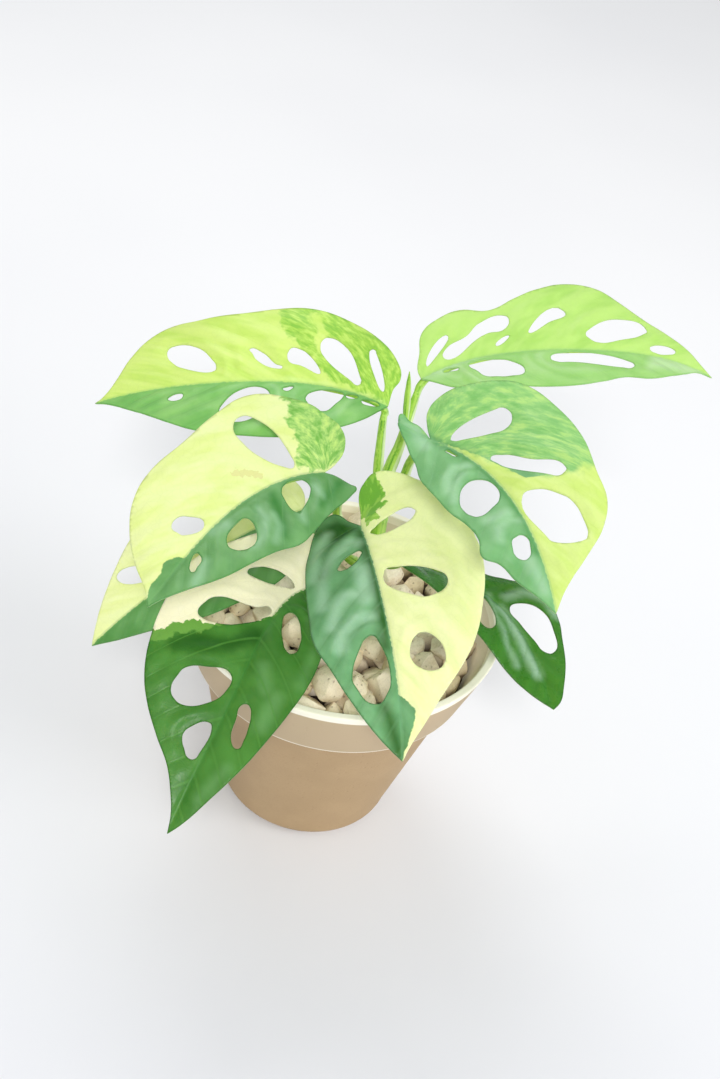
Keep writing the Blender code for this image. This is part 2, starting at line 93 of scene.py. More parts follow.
def added(operator: Callable[..., object], name: str, **settings: object) -> Object:
    """Add an object, at the origin if its settings give no other place.

    Args:
        operator: the operator that adds it.
        name: its name.
        settings: the operator's settings.

    Returns:
        The object.
    """
    bpy.ops.object.select_all(action="DESELECT")
    operator(**{"location": (0, 0, 0), **settings})
    item = bpy.context.object
    item.name = name
    return item


@contextmanager
def editing(item: Object, whole: bool = True) -> Iterator[None]:
    """Hold one object in edit mode for as long as the block runs.

    Args:
        item: the object.
        whole: whether all of its mesh is selected first.

    Yields:
        Nothing.
    """
    select_only(item)
    bpy.ops.object.mode_set(mode="EDIT")
    if whole:
        bpy.ops.mesh.select_all(action="SELECT")
    yield
    bpy.ops.object.mode_set(mode="OBJECT")


def apply_place(item: Object) -> None:
    """Put an object's place, turn and scale into its mesh."""
    select_only(item)
    bpy.ops.object.transform_apply(location=True, rotation=True, scale=True)


def apply_modifier(item: Object, kind: str, **settings: object) -> None:
    """Add one modifier to an object and apply it.

    Args:
        item: the object.
        kind: the modifier's type.
        settings: its properties.
    """
    step = item.modifiers.new(kind.lower(), kind)
    for name, value in settings.items():
        setattr(step, name, value)
    select_only(item)
    bpy.ops.object.modifier_apply(modifier=step.name)


def cut_with(item: Object, operation: str, cutter: Object) -> None:
    """Cut an object with another one, and remove that one."""
    apply_modifier(item, "BOOLEAN", operation=operation, solver="EXACT", object=cutter)
    bpy.data.objects.remove(cutter)


def smooth(item: Object, angle: float) -> None:
    """Shade an object smooth up to an angle in degrees between two faces."""
    select_only(item)
    bpy.ops.object.shade_smooth_by_angle(angle=math.radians(angle))


def remove_faces(item: Object, chosen: np.ndarray) -> None:
    """Delete the chosen faces of a mesh.

    Args:
        item: the mesh object.
        chosen: one true or false for each face.
    """
    mesh = item.data
    mesh.vertices.foreach_set("select", np.zeros(len(mesh.vertices), bool))
    mesh.edges.foreach_set("select", np.zeros(len(mesh.edges), bool))
    mesh.polygons.foreach_set("select", chosen)
    with editing(item, whole=False):
        bpy.ops.mesh.select_mode(type="FACE")
        bpy.ops.mesh.delete(type="FACE")


def tidy_mesh(item: Object, gap: float, outward: bool = True) -> None:
    """Merge vertices that lie together, and turn the faces outward.

    Args:
        item: the mesh object.
        gap: the distance to merge within, in millimetres.
        outward: whether the normals are recalculated.
    """
    with editing(item):
        bpy.ops.mesh.remove_doubles(threshold=gap * MM)
        if outward:
            bpy.ops.mesh.normals_make_consistent(inside=False)


def read_rows(parts: bpy_prop_collection, name: str, width: int, kind: type = float) -> np.ndarray:
    """Read one property of all the parts of a mesh.

    Args:
        parts: its vertices, corners or faces.
        name: the property's name.
        width: how many numbers each part has.
        kind: the kind of number.

    Returns:
        One row for each part, or one number for each where the width is 1.
    """
    values = np.empty(len(parts) * width, kind)
    parts.foreach_get(name, values)
    return values.reshape(-1, width) if width > 1 else values


def read_points(mesh: Mesh) -> np.ndarray:
    """Read the places of a mesh's vertices in millimetres."""
    return read_rows(mesh.vertices, "co", 3) / MM


def write_points(mesh: Mesh, places: np.ndarray) -> None:
    """Move a mesh's vertices to new places in millimetres."""
    mesh.vertices.foreach_set("co", (places * MM).ravel())
    mesh.update()


def add_attribute(mesh: Mesh, name: str, values: np.ndarray) -> None:
    """Give each vertex a value that a material can read.

    Args:
        mesh: the mesh.
        name: the attribute's name.
        values: one number, or one vector, for each vertex.
    """
    kind, field_name = ("FLOAT_VECTOR", "vector") if values.ndim > 1 else ("FLOAT", "value")
    layer = mesh.attributes.new(name, kind, "POINT")
    layer.data.foreach_set(field_name, values.astype(np.float32).ravel())


def finish_piece(item: Object, node: str, material: Material) -> None:
    """Dress a finished piece and put it in the place of a solid.

    Args:
        item: the piece.
        node: the solid that it stands for.
        material: its material.
    """
    item.data.materials.clear()
    item.data.materials.append(material)
    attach(item, "root")
    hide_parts(node)
    logging.info("%s: %d faces", item.name, len(item.data.polygons))


def drawn_line(name: str, points: Points) -> Object:
    """Draw a line of edges in the XZ plane, corner by corner.

    Args:
        name: the object's name.
        points: (radius, height) corners.

    Returns:
        The object.
    """
    item = added(bpy.ops.mesh.primitive_plane_add, name, size=MM)
    with editing(item):
        bpy.ops.mesh.merge(type="CENTER")
        bpy.ops.transform.translate(value=(points[0][0] * MM, 0, points[0][1] * MM))
        for (x0, z0), (x1, z1) in zip(points, points[1:]):
            move = {"value": ((x1 - x0) * MM, 0, (z1 - z0) * MM)}
            bpy.ops.mesh.extrude_region_move(TRANSFORM_OT_translate=move)
    return item


def arc(centre: tuple[float, float], radius: float, start: float, end: float, steps: int) -> Points:
    """Lay out a round stretch in even steps, from one angle in degrees to another."""
    turns = [math.radians(start + (end - start) * i / steps) for i in range(steps + 1)]
    return tuple((centre[0] + radius * math.cos(t), centre[1] + radius * math.sin(t)) for t in turns)


# Small tools for materials


class Graph:
    """Adds and joins the nodes of one material or one group."""

    def __init__(self, tree: NodeTree) -> None:
        """Start on a node tree."""
        self.tree = tree

    def feed(self, socket: Socket, value: object) -> None:
        """Give a socket a value, or join it to another socket.

        Args:
            socket: the input.
            value: a number, a colour, a vector or an output.
        """
        if isinstance(value, Socket):
            self.tree.links.new(value, socket)
        else:
            socket.default_value = value

    def node(self, kind: str, inputs: dict | None = None, **settings: object) -> Node:
        """Add a node.

        Args:
            kind: the node's type, without ShaderNode.
            inputs: values or outputs for its inputs, by name or number.
            settings: its properties.

        Returns:
            The node.
        """
        node = self.tree.nodes.new("ShaderNode" + kind)
        for name, value in settings.items():
            setattr(node, name, value)
        for key, value in (inputs or {}).items():
            self.feed(node.inputs[key], value)
        return node

    def maths(self, operation: str, a: object, b: object = 0.0) -> Socket:
        """Work out one value from one or two."""
        return self.node("Math", {0: a, 1: b}, operation=operation).outputs[0]

    def times(self, a: object, b: object) -> Socket:
        """Multiply two values."""
        return self.maths("MULTIPLY", a, b)

    def plus(self, a: object, b: object) -> Socket:
        """Add two values."""
        return self.maths("ADD", a, b)

    def minus(self, a: object, b: object) -> Socket:
        """Take the second value from the first."""
        return self.maths("SUBTRACT", a, b)

    def scaled(self, vector: Socket, scale: Place) -> Socket:
        """Stretch a vector along each axis."""
        return self.node("VectorMath", {0: vector, 1: scale}, operation="MULTIPLY").outputs[0]

    def split(self, vector: Socket) -> NodeOutputs:
        """Take a vector apart into its three numbers."""
        return self.node("SeparateXYZ", {0: vector}).outputs

    def chance(self, cells: Node, number: int) -> Socket:
        """Read one of the random values that each cell of a pattern has."""
        return self.node("SeparateColor", {0: cells.outputs["Color"]}).outputs[number]

    def attribute(self, name: str) -> Socket:
        """Read a value that the mesh gives for each vertex."""
        return self.node("Attribute", attribute_name=name).outputs["Fac"]

    def object_place(self) -> Socket:
        """Read the place in millimetres in the object's own axes."""
        return self.scaled(self.node("TexCoord").outputs["Object"], (1000, 1000, 1000))

    def between(
        self, value: Socket, low: object, high: object, start: float = 0.0, end: float = 1.0,
    ) -> Socket:
        """Ease from a start to an end as a value goes from low to high."""
        inputs = {"Value": value, "From Min": low, "From Max": high, "To Min": start, "To Max": end}
        return self.node("MapRange", inputs, interpolation_type="SMOOTHSTEP").outputs[0]

    def mixed(self, share: object, low: object, high: object) -> Socket:
        """Mix two colours, with the share of the second one."""
        return self.node("Mix", {0: share, 6: low, 7: high}, data_type="RGBA").outputs[2]

    def coated(self, base: object, *coats: tuple[str, Socket, float]) -> Socket:
        """Lay coats of colour over a base, one after another.

        Args:
            base: the first colour.
            coats: each coat's colour, where it lies, and how strong it is there.

        Returns:
            The colour of the whole.
        """
        for code, share, strength in coats:
            base = self.mixed(share if strength == 1 else self.times(share, strength), base, colour(code))
        return base

    def noise(self, place: Socket, scale: object, detail: float = 2.0, rough: float = 0.5) -> Socket:
        """Lay a soft random value, mostly from 0.3 to 0.7, over the surface."""
        inputs = {"Vector": place, "Scale": scale, "Detail": detail, "Roughness": rough}
        return self.node("TexNoise", inputs).outputs[0]

    def group(self, tree: NodeTree, inputs: dict[str, object]) -> NodeOutputs:
        """Place a group with its inputs, and give its outputs."""
        return self.node("Group", inputs, node_tree=tree).outputs

    def finish(self, shader: Node, base: Socket, relief: Socket, depth: float, strength: float) -> None:
        """Join the colour and the relief to the shader.

        Args:
            shader: the material's shader.
            base: the colour.
            relief: the height of the surface.
            depth: how deep the relief is.
            strength: how strongly it shows.
        """
        self.feed(shader.inputs["Base Color"], base)
        bump = self.node("Bump", {"Height": relief, "Distance": depth * MM, "Strength": strength})
        self.feed(shader.inputs["Normal"], bump.outputs[0])


def new_group(
    name: str, inputs: dict[str, object], build: Callable[[Graph, NodeOutputs], dict[str, Socket]],
) -> NodeTree:
    """Build a shader node group whose outputs are all values.

    Args:
        name: the group's name.
        inputs: each input's name and first value; a vector has three numbers.
        build: adds the nodes, and gives the outputs by name.

    Returns:
        The group's tree.
    """
    tree = bpy.data.node_groups.new(name, "ShaderNodeTree")
    for label, value in inputs.items():
        kind = "NodeSocketVector" if isinstance(value, tuple) else "NodeSocketFloat"
        tree.interface.new_socket(label, in_out="INPUT", socket_type=kind).default_value = value
    graph = Graph(tree)
    outputs = build(graph, tree.nodes.new("NodeGroupInput").outputs)
    for label in outputs:
        tree.interface.new_socket(label, in_out="OUTPUT", socket_type="NodeSocketFloat")
    result = tree.nodes.new("NodeGroupOutput")
    for label, value in outputs.items():
        graph.feed(result.inputs[label], value)
    return tree


def new_material(name: str, **constants: object) -> tuple[Material, Graph, Node]:
    """Start a material.

    Args:
        name: its name.
        constants: values for sockets of its shader, with _ for each space.

    Returns:
        The material, its graph and its shader.
    """
    material = bpy.data.materials.new(name)
    material.use_nodes = True
    shader = material.node_tree.nodes["Principled BSDF"]
    for label, value in constants.items():
        shader.inputs[label.replace("_", " ")].default_value = value
    return material, Graph(material.node_tree), shader


@dataclass
class SharedEffects:
    """The node groups that more than one finish uses."""

    patch: NodeTree = field(init=False)
    veins: NodeTree = field(init=False)
    grain: NodeTree = field(init=False)

    VEIN_WIDTH = 0.5
    VEIN_TAPER = 0.012
    VEIN_LEAST = 0.16
    NET_FINENESS = 0.42

    def __post_init__(self) -> None:
        """Build the groups."""
        place = (0.0, 0.0, 0.0)
        inputs = {"Distance": 0.0, "Place": place, "Softness": 0.4, "Raggedness": 1.5, "Fineness": 0.5}
        self.patch = new_group("ragged patch", inputs, self.build_patch)
        inputs = {"Phase": 0.0, "Spacing": 10.0, "Out": 0.0, "Place": place}
        self.veins = new_group("leaf veins", inputs, self.build_veins)
        inputs = {"Place": place, "Speck Size": 1.0, "Pit Size": 2.0}
        self.grain = new_group("dry grain", inputs, self.build_grain)

    def build_patch(self, graph: Graph, given: NodeOutputs) -> dict[str, Socket]:
        """Turn a distance into a patch with a ragged edge.

        Args:
            graph: the group's graph.
            given: its inputs.

        Returns:
            Its outputs.
        """
        noise = graph.noise(given["Place"], given["Fineness"], 3.0)
        shift = graph.times(graph.minus(noise, 0.5), given["Raggedness"])
        moved = graph.plus(given["Distance"], graph.times(shift, 4.0))
        soft = given["Softness"]
        return {"Mask": graph.between(moved, graph.times(soft, -1.0), soft)}

    def build_veins(self, graph: Graph, given: NodeOutputs) -> dict[str, Socket]:
        """Draw the side veins, the midrib and the net between them.

        Args:
            graph: the group's graph.
            given: its inputs.

        Returns:
            Its outputs.
        """
        phase, out = given["Phase"], given["Out"]
        share = graph.maths("ABSOLUTE", graph.minus(phase, graph.maths("ROUND", phase)))
        taper = graph.minus(self.VEIN_WIDTH, graph.times(out, self.VEIN_TAPER))
        width = graph.maths("MAXIMUM", taper, self.VEIN_LEAST)
        distance = graph.times(share, given["Spacing"])
        line = graph.between(distance, graph.times(width, 0.3), graph.times(width, 1.5), 1.0, 0.0)
        inputs = {"Vector": given["Place"], "Scale": self.NET_FINENESS}
        cells = graph.node("TexVoronoi", inputs, feature="DISTANCE_TO_EDGE")
        net = graph.between(cells.outputs["Distance"], 0.01, 0.09, 1.0, 0.0)
        return {
            "Line": line,
            "Midrib": graph.between(out, 0.3, 0.9, 1.0, 0.0),
            "Between": graph.times(share, 2.0),
            "Net": net,
            "Height": graph.plus(graph.times(line, -0.2), graph.times(net, -0.08)),
        }

    def build_grain(self, graph: Graph, given: NodeOutputs) -> dict[str, Socket]:
        """Lay out the specks, pits and broad shifts that dry, matte surfaces share.

        Args:
            graph: the group's graph.
            given: its inputs.

        Returns:
            Its outputs.
        """
        place = given["Place"]
        specks, pits = (
            graph.node("TexVoronoi", {"Vector": place, "Scale": graph.maths("DIVIDE", 1.0, given[size])})
            for size in ("Speck Size", "Pit Size")
        )
        rare = graph.between(graph.chance(pits, 0), 0.62, 0.7)
        pit = graph.times(graph.between(pits.outputs["Distance"], 0.12, 0.3, 1.0, 0.0), rare)
        fine = graph.noise(place, 1.6, 3.0, 0.65)
        return {
            "Specks": graph.between(graph.chance(specks, 1), 0.5, 0.95),
            "Pits": pit,
            "Shift": graph.noise(place, 0.06, 3.0),
            "Height": graph.minus(graph.times(fine, 0.5), graph.times(pit, 1.2)),
        }


# Leaves


class Marking(Enum):
    """A kind of coloured patch on a blade, with the name of its attribute. Its pale sheen marking is
    painted reflection, and its deep marking is darker green painted as shade.
    """

    PALE = "pale"
    CREAM = "cream"
    FRESH = "fresh"
    # painted shade: darker green where the blade lies in shade
    DEEP_SHADE = "deep"
    MOTTLE = "mottle"
    # painted sheen: pale reflection painted on the blade
    BLOOM = "painted_sheen"


@dataclass(frozen=True)
class Patch:
    """One outline of a marking on the flat blade; a cut takes that part away again.

    With a width, the points are a line as wide as that instead of a closed outline.
    """

    marking: Marking
    points: Points
    cut: bool = False
    width: float = 0.0

    def depth(self, places: np.ndarray) -> np.ndarray:
        """Measure how far places lie inside the outline.

        Args:
            places: places on the flat blade.

        Returns:
            Distances to the outline, below 0 outside it.
        """
        corners = np.array(self.points, float)
        ends = np.roll(corners, -1, axis=0)
        if self.width:
            corners, ends = corners[:-1], ends[:-1]
        nearest = np.full(len(places), 1e9)
        inside = np.zeros(len(places), bool)
        for (x0, y0), (x1, y1) in zip(corners, ends):
            edge = np.array([x1 - x0, y1 - y0])
            rest = places - (x0, y0)
            share = np.clip(rest @ edge / max(edge @ edge, 1e-9), 0, 1)
            nearest = np.minimum(nearest, np.hypot(*(rest - share[:, None] * edge).T))
            crossed = (y0 > places[:, 1]) != (y1 > places[:, 1])
            slope = (x1 - x0) / (y1 - y0) if y1 != y0 else 0.0
            inside ^= crossed & (places[:, 0] < x0 + (places[:, 1] - y0) * slope)
        if self.width:
            return self.width / 2 - nearest
        return np.where(inside, nearest, -nearest)


RIGHT_HALF: Points = ((-40, 0), (140, 0), (140, -60), (-40, -60))
LEFT_HALF: Points = ((-40, 0), (140, 0), (140, 60), (-40, 60))


def traced(text: str) -> Points:
    """Read an outline from its places, each written as along,out."""
    return tuple(tuple(float(number) for number in place.split(",")) for place in text.split())


def outlines(text: str) -> tuple[Points, ...]:
    """Read several outlines, with a semicolon between one and the next."""
    return tuple(traced(part) for part in text.split(";"))


def strokes(marking: Marking, text: str) -> tuple[Patch, ...]:
    """Read lines of one marking, each written as its width, a colon and its places."""
    rows = (row.split(":") for row in text.split(";"))
    return tuple(Patch(marking, traced(places), width=float(width)) for width, places in rows)


def egg(start: tuple[float, float], end: tuple[float, float], width: float, wide: float) -> Points:
    """Lay out an egg-shaped hole.

    Args:
        start: its inner end on the flat blade.
        end: its outer end.
        width: its width.
        wide: how much wider it is towards its outer end.

    Returns:
        Twelve points round it.
    """
    centre, half = np.add(end, start) / 2, np.subtract(end, start) / 2
    across = np.array([-half[1], half[0]]) / math.hypot(*half)
    points = []
    for turn in np.linspace(0, math.tau, 12, endpoint=False):
        bulge = width / 2 * math.sin(turn) * (1 + wide * math.cos(turn))
        points.append(tuple(centre + half * math.cos(turn) + across * bulge))
    return tuple(points)


@dataclass(frozen=True)
class LeafFinish:
    """The colours and gloss of one blade, with its painted sheen and painted shade."""

    green: str
    light_green: str
    deep: str
    # the colour of the painted sheen: pale grey-green reflection
    painted_sheen: str
    pale: str
    pale_shade: str
    mottle: tuple[str, str, str] = ("8CC455", "6DB040", "C4E982")
    fresh: str = "7CC142"
    cream: str = "FCF2CC"
    underside: str = "B9D6A0"
    mottle_soft: float = 0.12
    mottle_edge: float = 0.25
    mottle_size: float = 1.0
    # how strongly the painted sheen shows, on its strokes and on the raised rings round the holes
    painted_sheen_share: float = 0.65
    ring_sheen_share: float = 0.55
    vein_share: float = 0.15
    roughness: float = 0.38
    glow_depth: float = 2.5
    glow_spread: Place = (1.0, 1.0, 0.5)

    def material(self, name: str, effects: SharedEffects) -> Material:
        """Build the blade's material.

        Args:
            name: the blade's name.
            effects: the shared node groups.

        Returns:
            The material.
        """
        material, graph, shader = new_material(
            name, IOR=1.42, Specular_IOR_Level=0.3, Subsurface_Weight=0.3,
            Subsurface_Radius=self.glow_spread, Subsurface_Scale=self.glow_depth * MM,
        )
        place = graph.scaled(graph.node("UVMap", uv_map="blade").outputs[0], (100, 100, 1))
        out = graph.maths("ABSOLUTE", graph.split(place)[1])
        number, spacing, _ = graph.split(graph.node("UVMap", uv_map="veins").outputs[0])
        inputs = {"Phase": number, "Spacing": spacing, "Out": out, "Place": place}
        veins = graph.group(effects.veins, inputs)

        def mask(marking: Marking, softness: float, raggedness: float, fineness: float) -> Socket:
            """Find where a marking lies, with its own kind of edge."""
            inputs = {"Distance": graph.attribute(marking.value), "Place": place}
            inputs |= {"Softness": softness, "Raggedness": raggedness, "Fineness": fineness}
            return graph.group(effects.patch, inputs)[0]

        def along_veins(often: float, stretch: float, detail: float, offset: float) -> Socket:
            """Lay a random value that is drawn out along the side veins."""
            inputs = {0: graph.times(number, often), 1: graph.times(out, stretch), 2: offset}
            return graph.noise(graph.node("CombineXYZ", inputs).outputs[0], 1.0, detail, 0.6)

        cloud = graph.between(graph.noise(place, 0.07, 3.0), 0.35, 0.65, 0.1, 0.75)
        # painted shade: darker in the hollows beside the side veins, where the puffed surface dips
        hollow_shade = graph.between(veins["Between"], 0.0, 0.55, 1.0, 0.0)
        # painted sheen: pale reflections painted on the sheen strokes and patches, and on the raised rings
        # round the holes
        halo = graph.times(graph.attribute("halo"), self.ring_sheen_share)
        sheen = graph.maths("MAXIMUM", mask(Marking.BLOOM, 2.4, 0.25, 0.1), halo)
        ground = graph.coated(
            graph.mixed(cloud, colour(self.green), colour(self.light_green)),
            # painted shade: darker green on the deep patches and strokes, between the painted sheen bands,
            # along the midrib and at the bases
            (self.deep, mask(Marking.DEEP_SHADE, 3.0, 0.6, 0.12), 1),
            (self.deep, hollow_shade, 0.2),
            (self.painted_sheen, sheen, self.painted_sheen_share),
            (self.light_green, veins["Line"], self.vein_share),
            (self.fresh, mask(Marking.FRESH, 0.5, 1.2, 0.4), 1),
        )
        pale = graph.coated(
            colour(self.pale),
            (self.pale_shade, graph.between(along_veins(1.3, 0.1, 2, 3), 0.4, 0.7, 0.0, 0.7), 1),
            # painted shade beside the side veins, faint on the pale half
            (self.pale_shade, hollow_shade, 0.15),
        )
        light = mask(Marking.PALE, 0.2, 0.35, 0.5)

        size, soft = self.mottle_size, self.mottle_soft
        fleck, marble = along_veins(4 / size, 0.16 / size, 4, 0), along_veins(5 / size, 0.2 / size, 5, 7)
        streak = graph.plus(graph.times(marble, 0.7), graph.times(fleck, 0.3))
        base, dark, flecks = self.mottle
        tone = graph.coated(
            colour(flecks),
            (base, graph.between(streak, 0.45 - soft, 0.45 + soft), 1),
            (dark, graph.between(streak, 0.54 - soft, 0.54 + soft), 1),
        )
        spots = mask(Marking.MOTTLE, self.mottle_edge, 1.8, 0.3)
        cream = mask(Marking.CREAM, 0.15, 0.7, 0.7)
        bright = graph.maths("MAXIMUM", light, graph.maths("MAXIMUM", spots, cream))
        margin = graph.between(graph.attribute("margin"), 0.1, 0.6, 0.5, 0.0)
        under = graph.attribute("under")
        blade = graph.coated(
            graph.mixed(spots, graph.mixed(light, ground, pale), tone),
            (self.cream, cream, 1),
            (self.light_green, veins["Midrib"], 0.35),
            (self.deep, veins["Net"], 0.03),
            (self.deep, graph.times(margin, graph.plus(graph.minus(1.0, bright), 0.15)), 1),
            (self.underside, under, 0.35),
        )
        uneven = graph.noise(place, 0.35)
        gloss = graph.between(uneven, 0.3, 0.7, self.roughness - 0.06, self.roughness + 0.06)
        graph.feed(shader.inputs["Roughness"], graph.plus(gloss, graph.times(under, 0.2)))
        fine = graph.times(graph.noise(place, 1.4, 3.0), 0.25)
        graph.finish(shader, blade, graph.plus(veins["Height"], fine), 0.25, 0.6)
        return material


@dataclass(frozen=True)
class Leaf:
    """One leaf: the blade's place and shape, and the route of its petiole.

    Heading, pitch and roll are in degrees at even steps from base to tip. The two halves'
    outlines give how far out each point lies on its own side; an out below 0 crosses over.
    """

    name: str
    slot: str
    finish: LeafFinish
    length: float
    base: Place
    heading: tuple[float, ...]
    pitch: tuple[float, ...]
    roll: tuple[float, ...]
    right: Points
    left: Points
    holes: tuple[Points, ...]
    stem_height: float
    route: tuple[Place, ...]
    patches: tuple[Patch, ...] = ()
    lean: float = 0.5
    gain: float = 1.2
    wave: float = 0.5
    swell: float = 0.65
    ring: float = 0.7
    groove: float = 0.3

    FRAME_STEPS = 120
    FOLD = (14, 12, 10, 8)
    CURL = (0.5, 0.5, 0.5, 0.4)
    LOBE_LIFT = 0.03
    THICKNESS = 0.45
    LOBE_REACH = 14.0
    VEIN_SPACING = 11.0
    VEIN_CURVE = 60.0
    LEAST_GAP = 5.0
    RING_WAVE = 5.6
    RING_TOP = 3.6
    RING_FADE = 10.0
    FULL_HOLE = 90.0

    @staticmethod
    def eased(values: tuple[float, ...], place: np.ndarray) -> np.ndarray:
        """Read a smooth value at places from 0 at the base to 1 at the tip."""
        steps = np.linspace(0, 1, len(values))
        return np.polyval(np.polyfit(steps, values, len(values) - 1), place)

    def midrib(self) -> tuple[np.ndarray, np.ndarray, np.ndarray, np.ndarray]:
        """Lay out the midrib from base to tip.

        Returns:
            Its points, and the forward, left and upward directions there.
        """
        place = np.linspace(0, 1, self.FRAME_STEPS + 1)
        angles = (self.heading, self.pitch, self.roll)
        heading, pitch, roll = (np.radians(self.eased(values, place)) for values in angles)
        level = np.cos(pitch)
        forward = np.stack([level * np.cos(heading), level * np.sin(heading), np.sin(pitch)], 1)
        steps = (forward[1:] + forward[:-1]) / 2 * self.length / self.FRAME_STEPS
        points = np.vstack([[self.base], self.base + np.cumsum(steps, axis=0)])
        flat_left = np.stack([-np.sin(heading), np.cos(heading), 0 * heading], 1)
        flat_up = np.cross(forward, flat_left)
        sine, cosine = np.sin(roll)[:, None], np.cos(roll)[:, None]
        return points, forward, cosine * flat_left - sine * flat_up, cosine * flat_up + sine * flat_left

    def bent(self, flat: np.ndarray) -> np.ndarray:
        """Find where places on the flat blade lie on the bent leaf.

        Args:
            flat: places on the flat blade.

        Returns:
            Their places in space.
        """
        frames = self.midrib()
        place = np.clip(flat[:, 0] / self.length, 0, 1)
        index = place * self.FRAME_STEPS
        low = np.minimum(index.astype(int), self.FRAME_STEPS - 1)
        share = (index - low)[:, None]
        point, forward, left, upward = (part[low] * (1 - share) + part[low + 1] * share for part in frames)
        beyond = flat[:, 0] - place * self.length
        fold = np.radians(self.eased(self.FOLD, place))
        curl = np.radians(self.eased(self.CURL, place))
        turned = fold - curl * np.abs(flat[:, 1])
        across = np.sign(flat[:, 1]) * (np.sin(fold) - np.sin(turned)) / curl
        lift = self.LOBE_LIFT * np.minimum(flat[:, 0], 0) ** 2
        rise = (np.cos(turned) - np.cos(fold)) / curl + lift
        return point + forward * beyond[:, None] + left * across[:, None] + upward * rise[:, None]

    def vein_start(self, along: np.ndarray, out: np.ndarray) -> np.ndarray:
        """Follow the side vein through a place back to the midrib.

        Args:
            along: how far along the midrib the place is.
            out: how far out it is, on either side.

        Returns:
            Where along the midrib the vein starts.
        """
        drift = out * (1 + out / self.VEIN_CURVE)
        start = along - self.lean * drift
        ahead = start / (1 + self.gain * drift / self.length)
        behind = -self.LOBE_REACH * np.arctan2(-start, out + 0.01)
        return np.where(start >= 0, ahead, behind)

    def vein_number(self, start: np.ndarray, side: int) -> np.ndarray:
        """Number the side veins of one half, so that each hole lies midway between two of them.

        Args:
            start: where along the midrib the veins start.
            side: +1 left or -1 right.

        Returns:
            A value that is whole on a vein.
        """
        middles = [np.mean(hole, axis=0) for hole in self.holes]
        starts = sorted(float(self.vein_start(x, abs(y))) for x, y in middles if y * side > 0)
        knots, numbers = [starts[0]], [0.5]
        for place in starts[1:]:
            gap = place - knots[-1]
            if gap > self.LEAST_GAP:
                knots.append(place)
                numbers.append(numbers[-1] + max(1, round(gap / self.VEIN_SPACING)))
        before, after = 6, 12
        knots = [knots[0] - before * self.VEIN_SPACING, *knots, knots[-1] + after * self.VEIN_SPACING]
        return np.interp(start, knots, [numbers[0] - before, *numbers, numbers[-1] + after])

    def vein_phase(self, along: np.ndarray, out: np.ndarray, left: np.ndarray) -> np.ndarray:
        """Number the side veins on both halves.

        Args:
            along: how far along the midrib the places are.
            out: how far out they are.
            left: which of them lie on the left half.

        Returns:
            A value that is whole on a vein.
        """
        start = self.vein_start(along, out)
        return np.where(left, self.vein_number(start, 1), self.vein_number(start, -1))

    def cutter(self, fineness: int) -> Object:
        """Draw the flat blade's outline and holes as a closed block.

        Args:
            fineness: how many steps each stretch of the outline gets.

        Returns:
            The block.
        """
        item = added(bpy.ops.curve.primitive_bezier_circle_add, "outline", radius=MM)
        curve = item.data
        curve.dimensions = "2D"
        curve.fill_mode = "BOTH"
        curve.resolution_u = fineness
        curve.extrude = 5 * MM
        curve.splines.clear()
        ends = ((0, 0), (self.length, 0))
        edge = (ends[0], *((x, -y) for x, y in self.right), ends[1], *reversed(self.left))
        for points in (edge, *self.holes):
            spline = curve.splines.new("BEZIER")
            spline.bezier_points.add(len(points) - 1)
            spline.use_cyclic_u = True
            for knot, (x, y) in zip(spline.bezier_points, points):
                knot.co = (x * MM, y * MM, 0)
                knot.handle_left_type = knot.handle_right_type = "VECTOR" if (x, y) in ends else "AUTO"
        bpy.ops.object.convert(target="MESH")
        tidy_mesh(item, 0.01)
        return item

    def sheet(self, cell: float, fineness: int) -> Object:
        """Cut the flat blade out of a sheet of small cells, finer beside the midrib.

        Args:
            cell: the size of a cell.
            fineness: how many steps each stretch of the outline gets.

        Returns:
            The flat blade, one face thick.
        """
        xs, ys = zip(*self.right, *self.left)
        low, high, span = min(0, *xs) - 2, self.length + 2, max(ys) + 2
        along, across = round((high - low) / cell), 2 * round(span / cell)
        item = added(
            bpy.ops.mesh.primitive_grid_add, f"blade_{self.name}",
            x_subdivisions=along, y_subdivisions=across, size=1,
        )
        item.scale = ((high - low) * MM, 2 * span * MM, 1)
        item.location = ((high + low) / 2 * MM, 0, MM)
        apply_place(item)
        places = read_points(item.data)
        places[:, 1] *= 0.5 + 0.5 * np.abs(places[:, 1]) / span
        write_points(item.data, places)
        with editing(item):
            bpy.ops.mesh.extrude_region_move(TRANSFORM_OT_translate={"value": (0, 0, -2 * MM)})
            bpy.ops.mesh.select_all(action="SELECT")
            bpy.ops.mesh.normals_make_consistent(inside=False)
        cut_with(item, "INTERSECT", self.cutter(fineness))
        remove_faces(item, read_rows(item.data.polygons, "normal", 3)[:, 2] < 0.9)
        tidy_mesh(item, 0.06, outward=False)
        with editing(item):
            bpy.ops.mesh.select_all(action="DESELECT")
            bpy.ops.mesh.select_face_by_sides(number=4, type="GREATER")
            bpy.ops.mesh.quads_convert_to_tris(ngon_method="BEAUTY")
        return item

    @staticmethod
    def edge_distance(mesh: Mesh, places: np.ndarray) -> np.ndarray:
        """Measure how far each vertex lies from the nearest edge of the blade.

        Args:
            mesh: the flat blade.
            places: its vertices.

        Returns:
            The distances.
        """
        used = Counter(pair for face in mesh.polygons for pair in face.edge_keys)
        border = np.array([pair for pair, count in used.items() if count == 1])
        starts, ends = places[border[:, 0]], places[border[:, 1]]
        rim = np.vstack([starts, (starts + ends) / 2])
        return np.array([np.hypot(*(rim - place).T).min() for place in places])

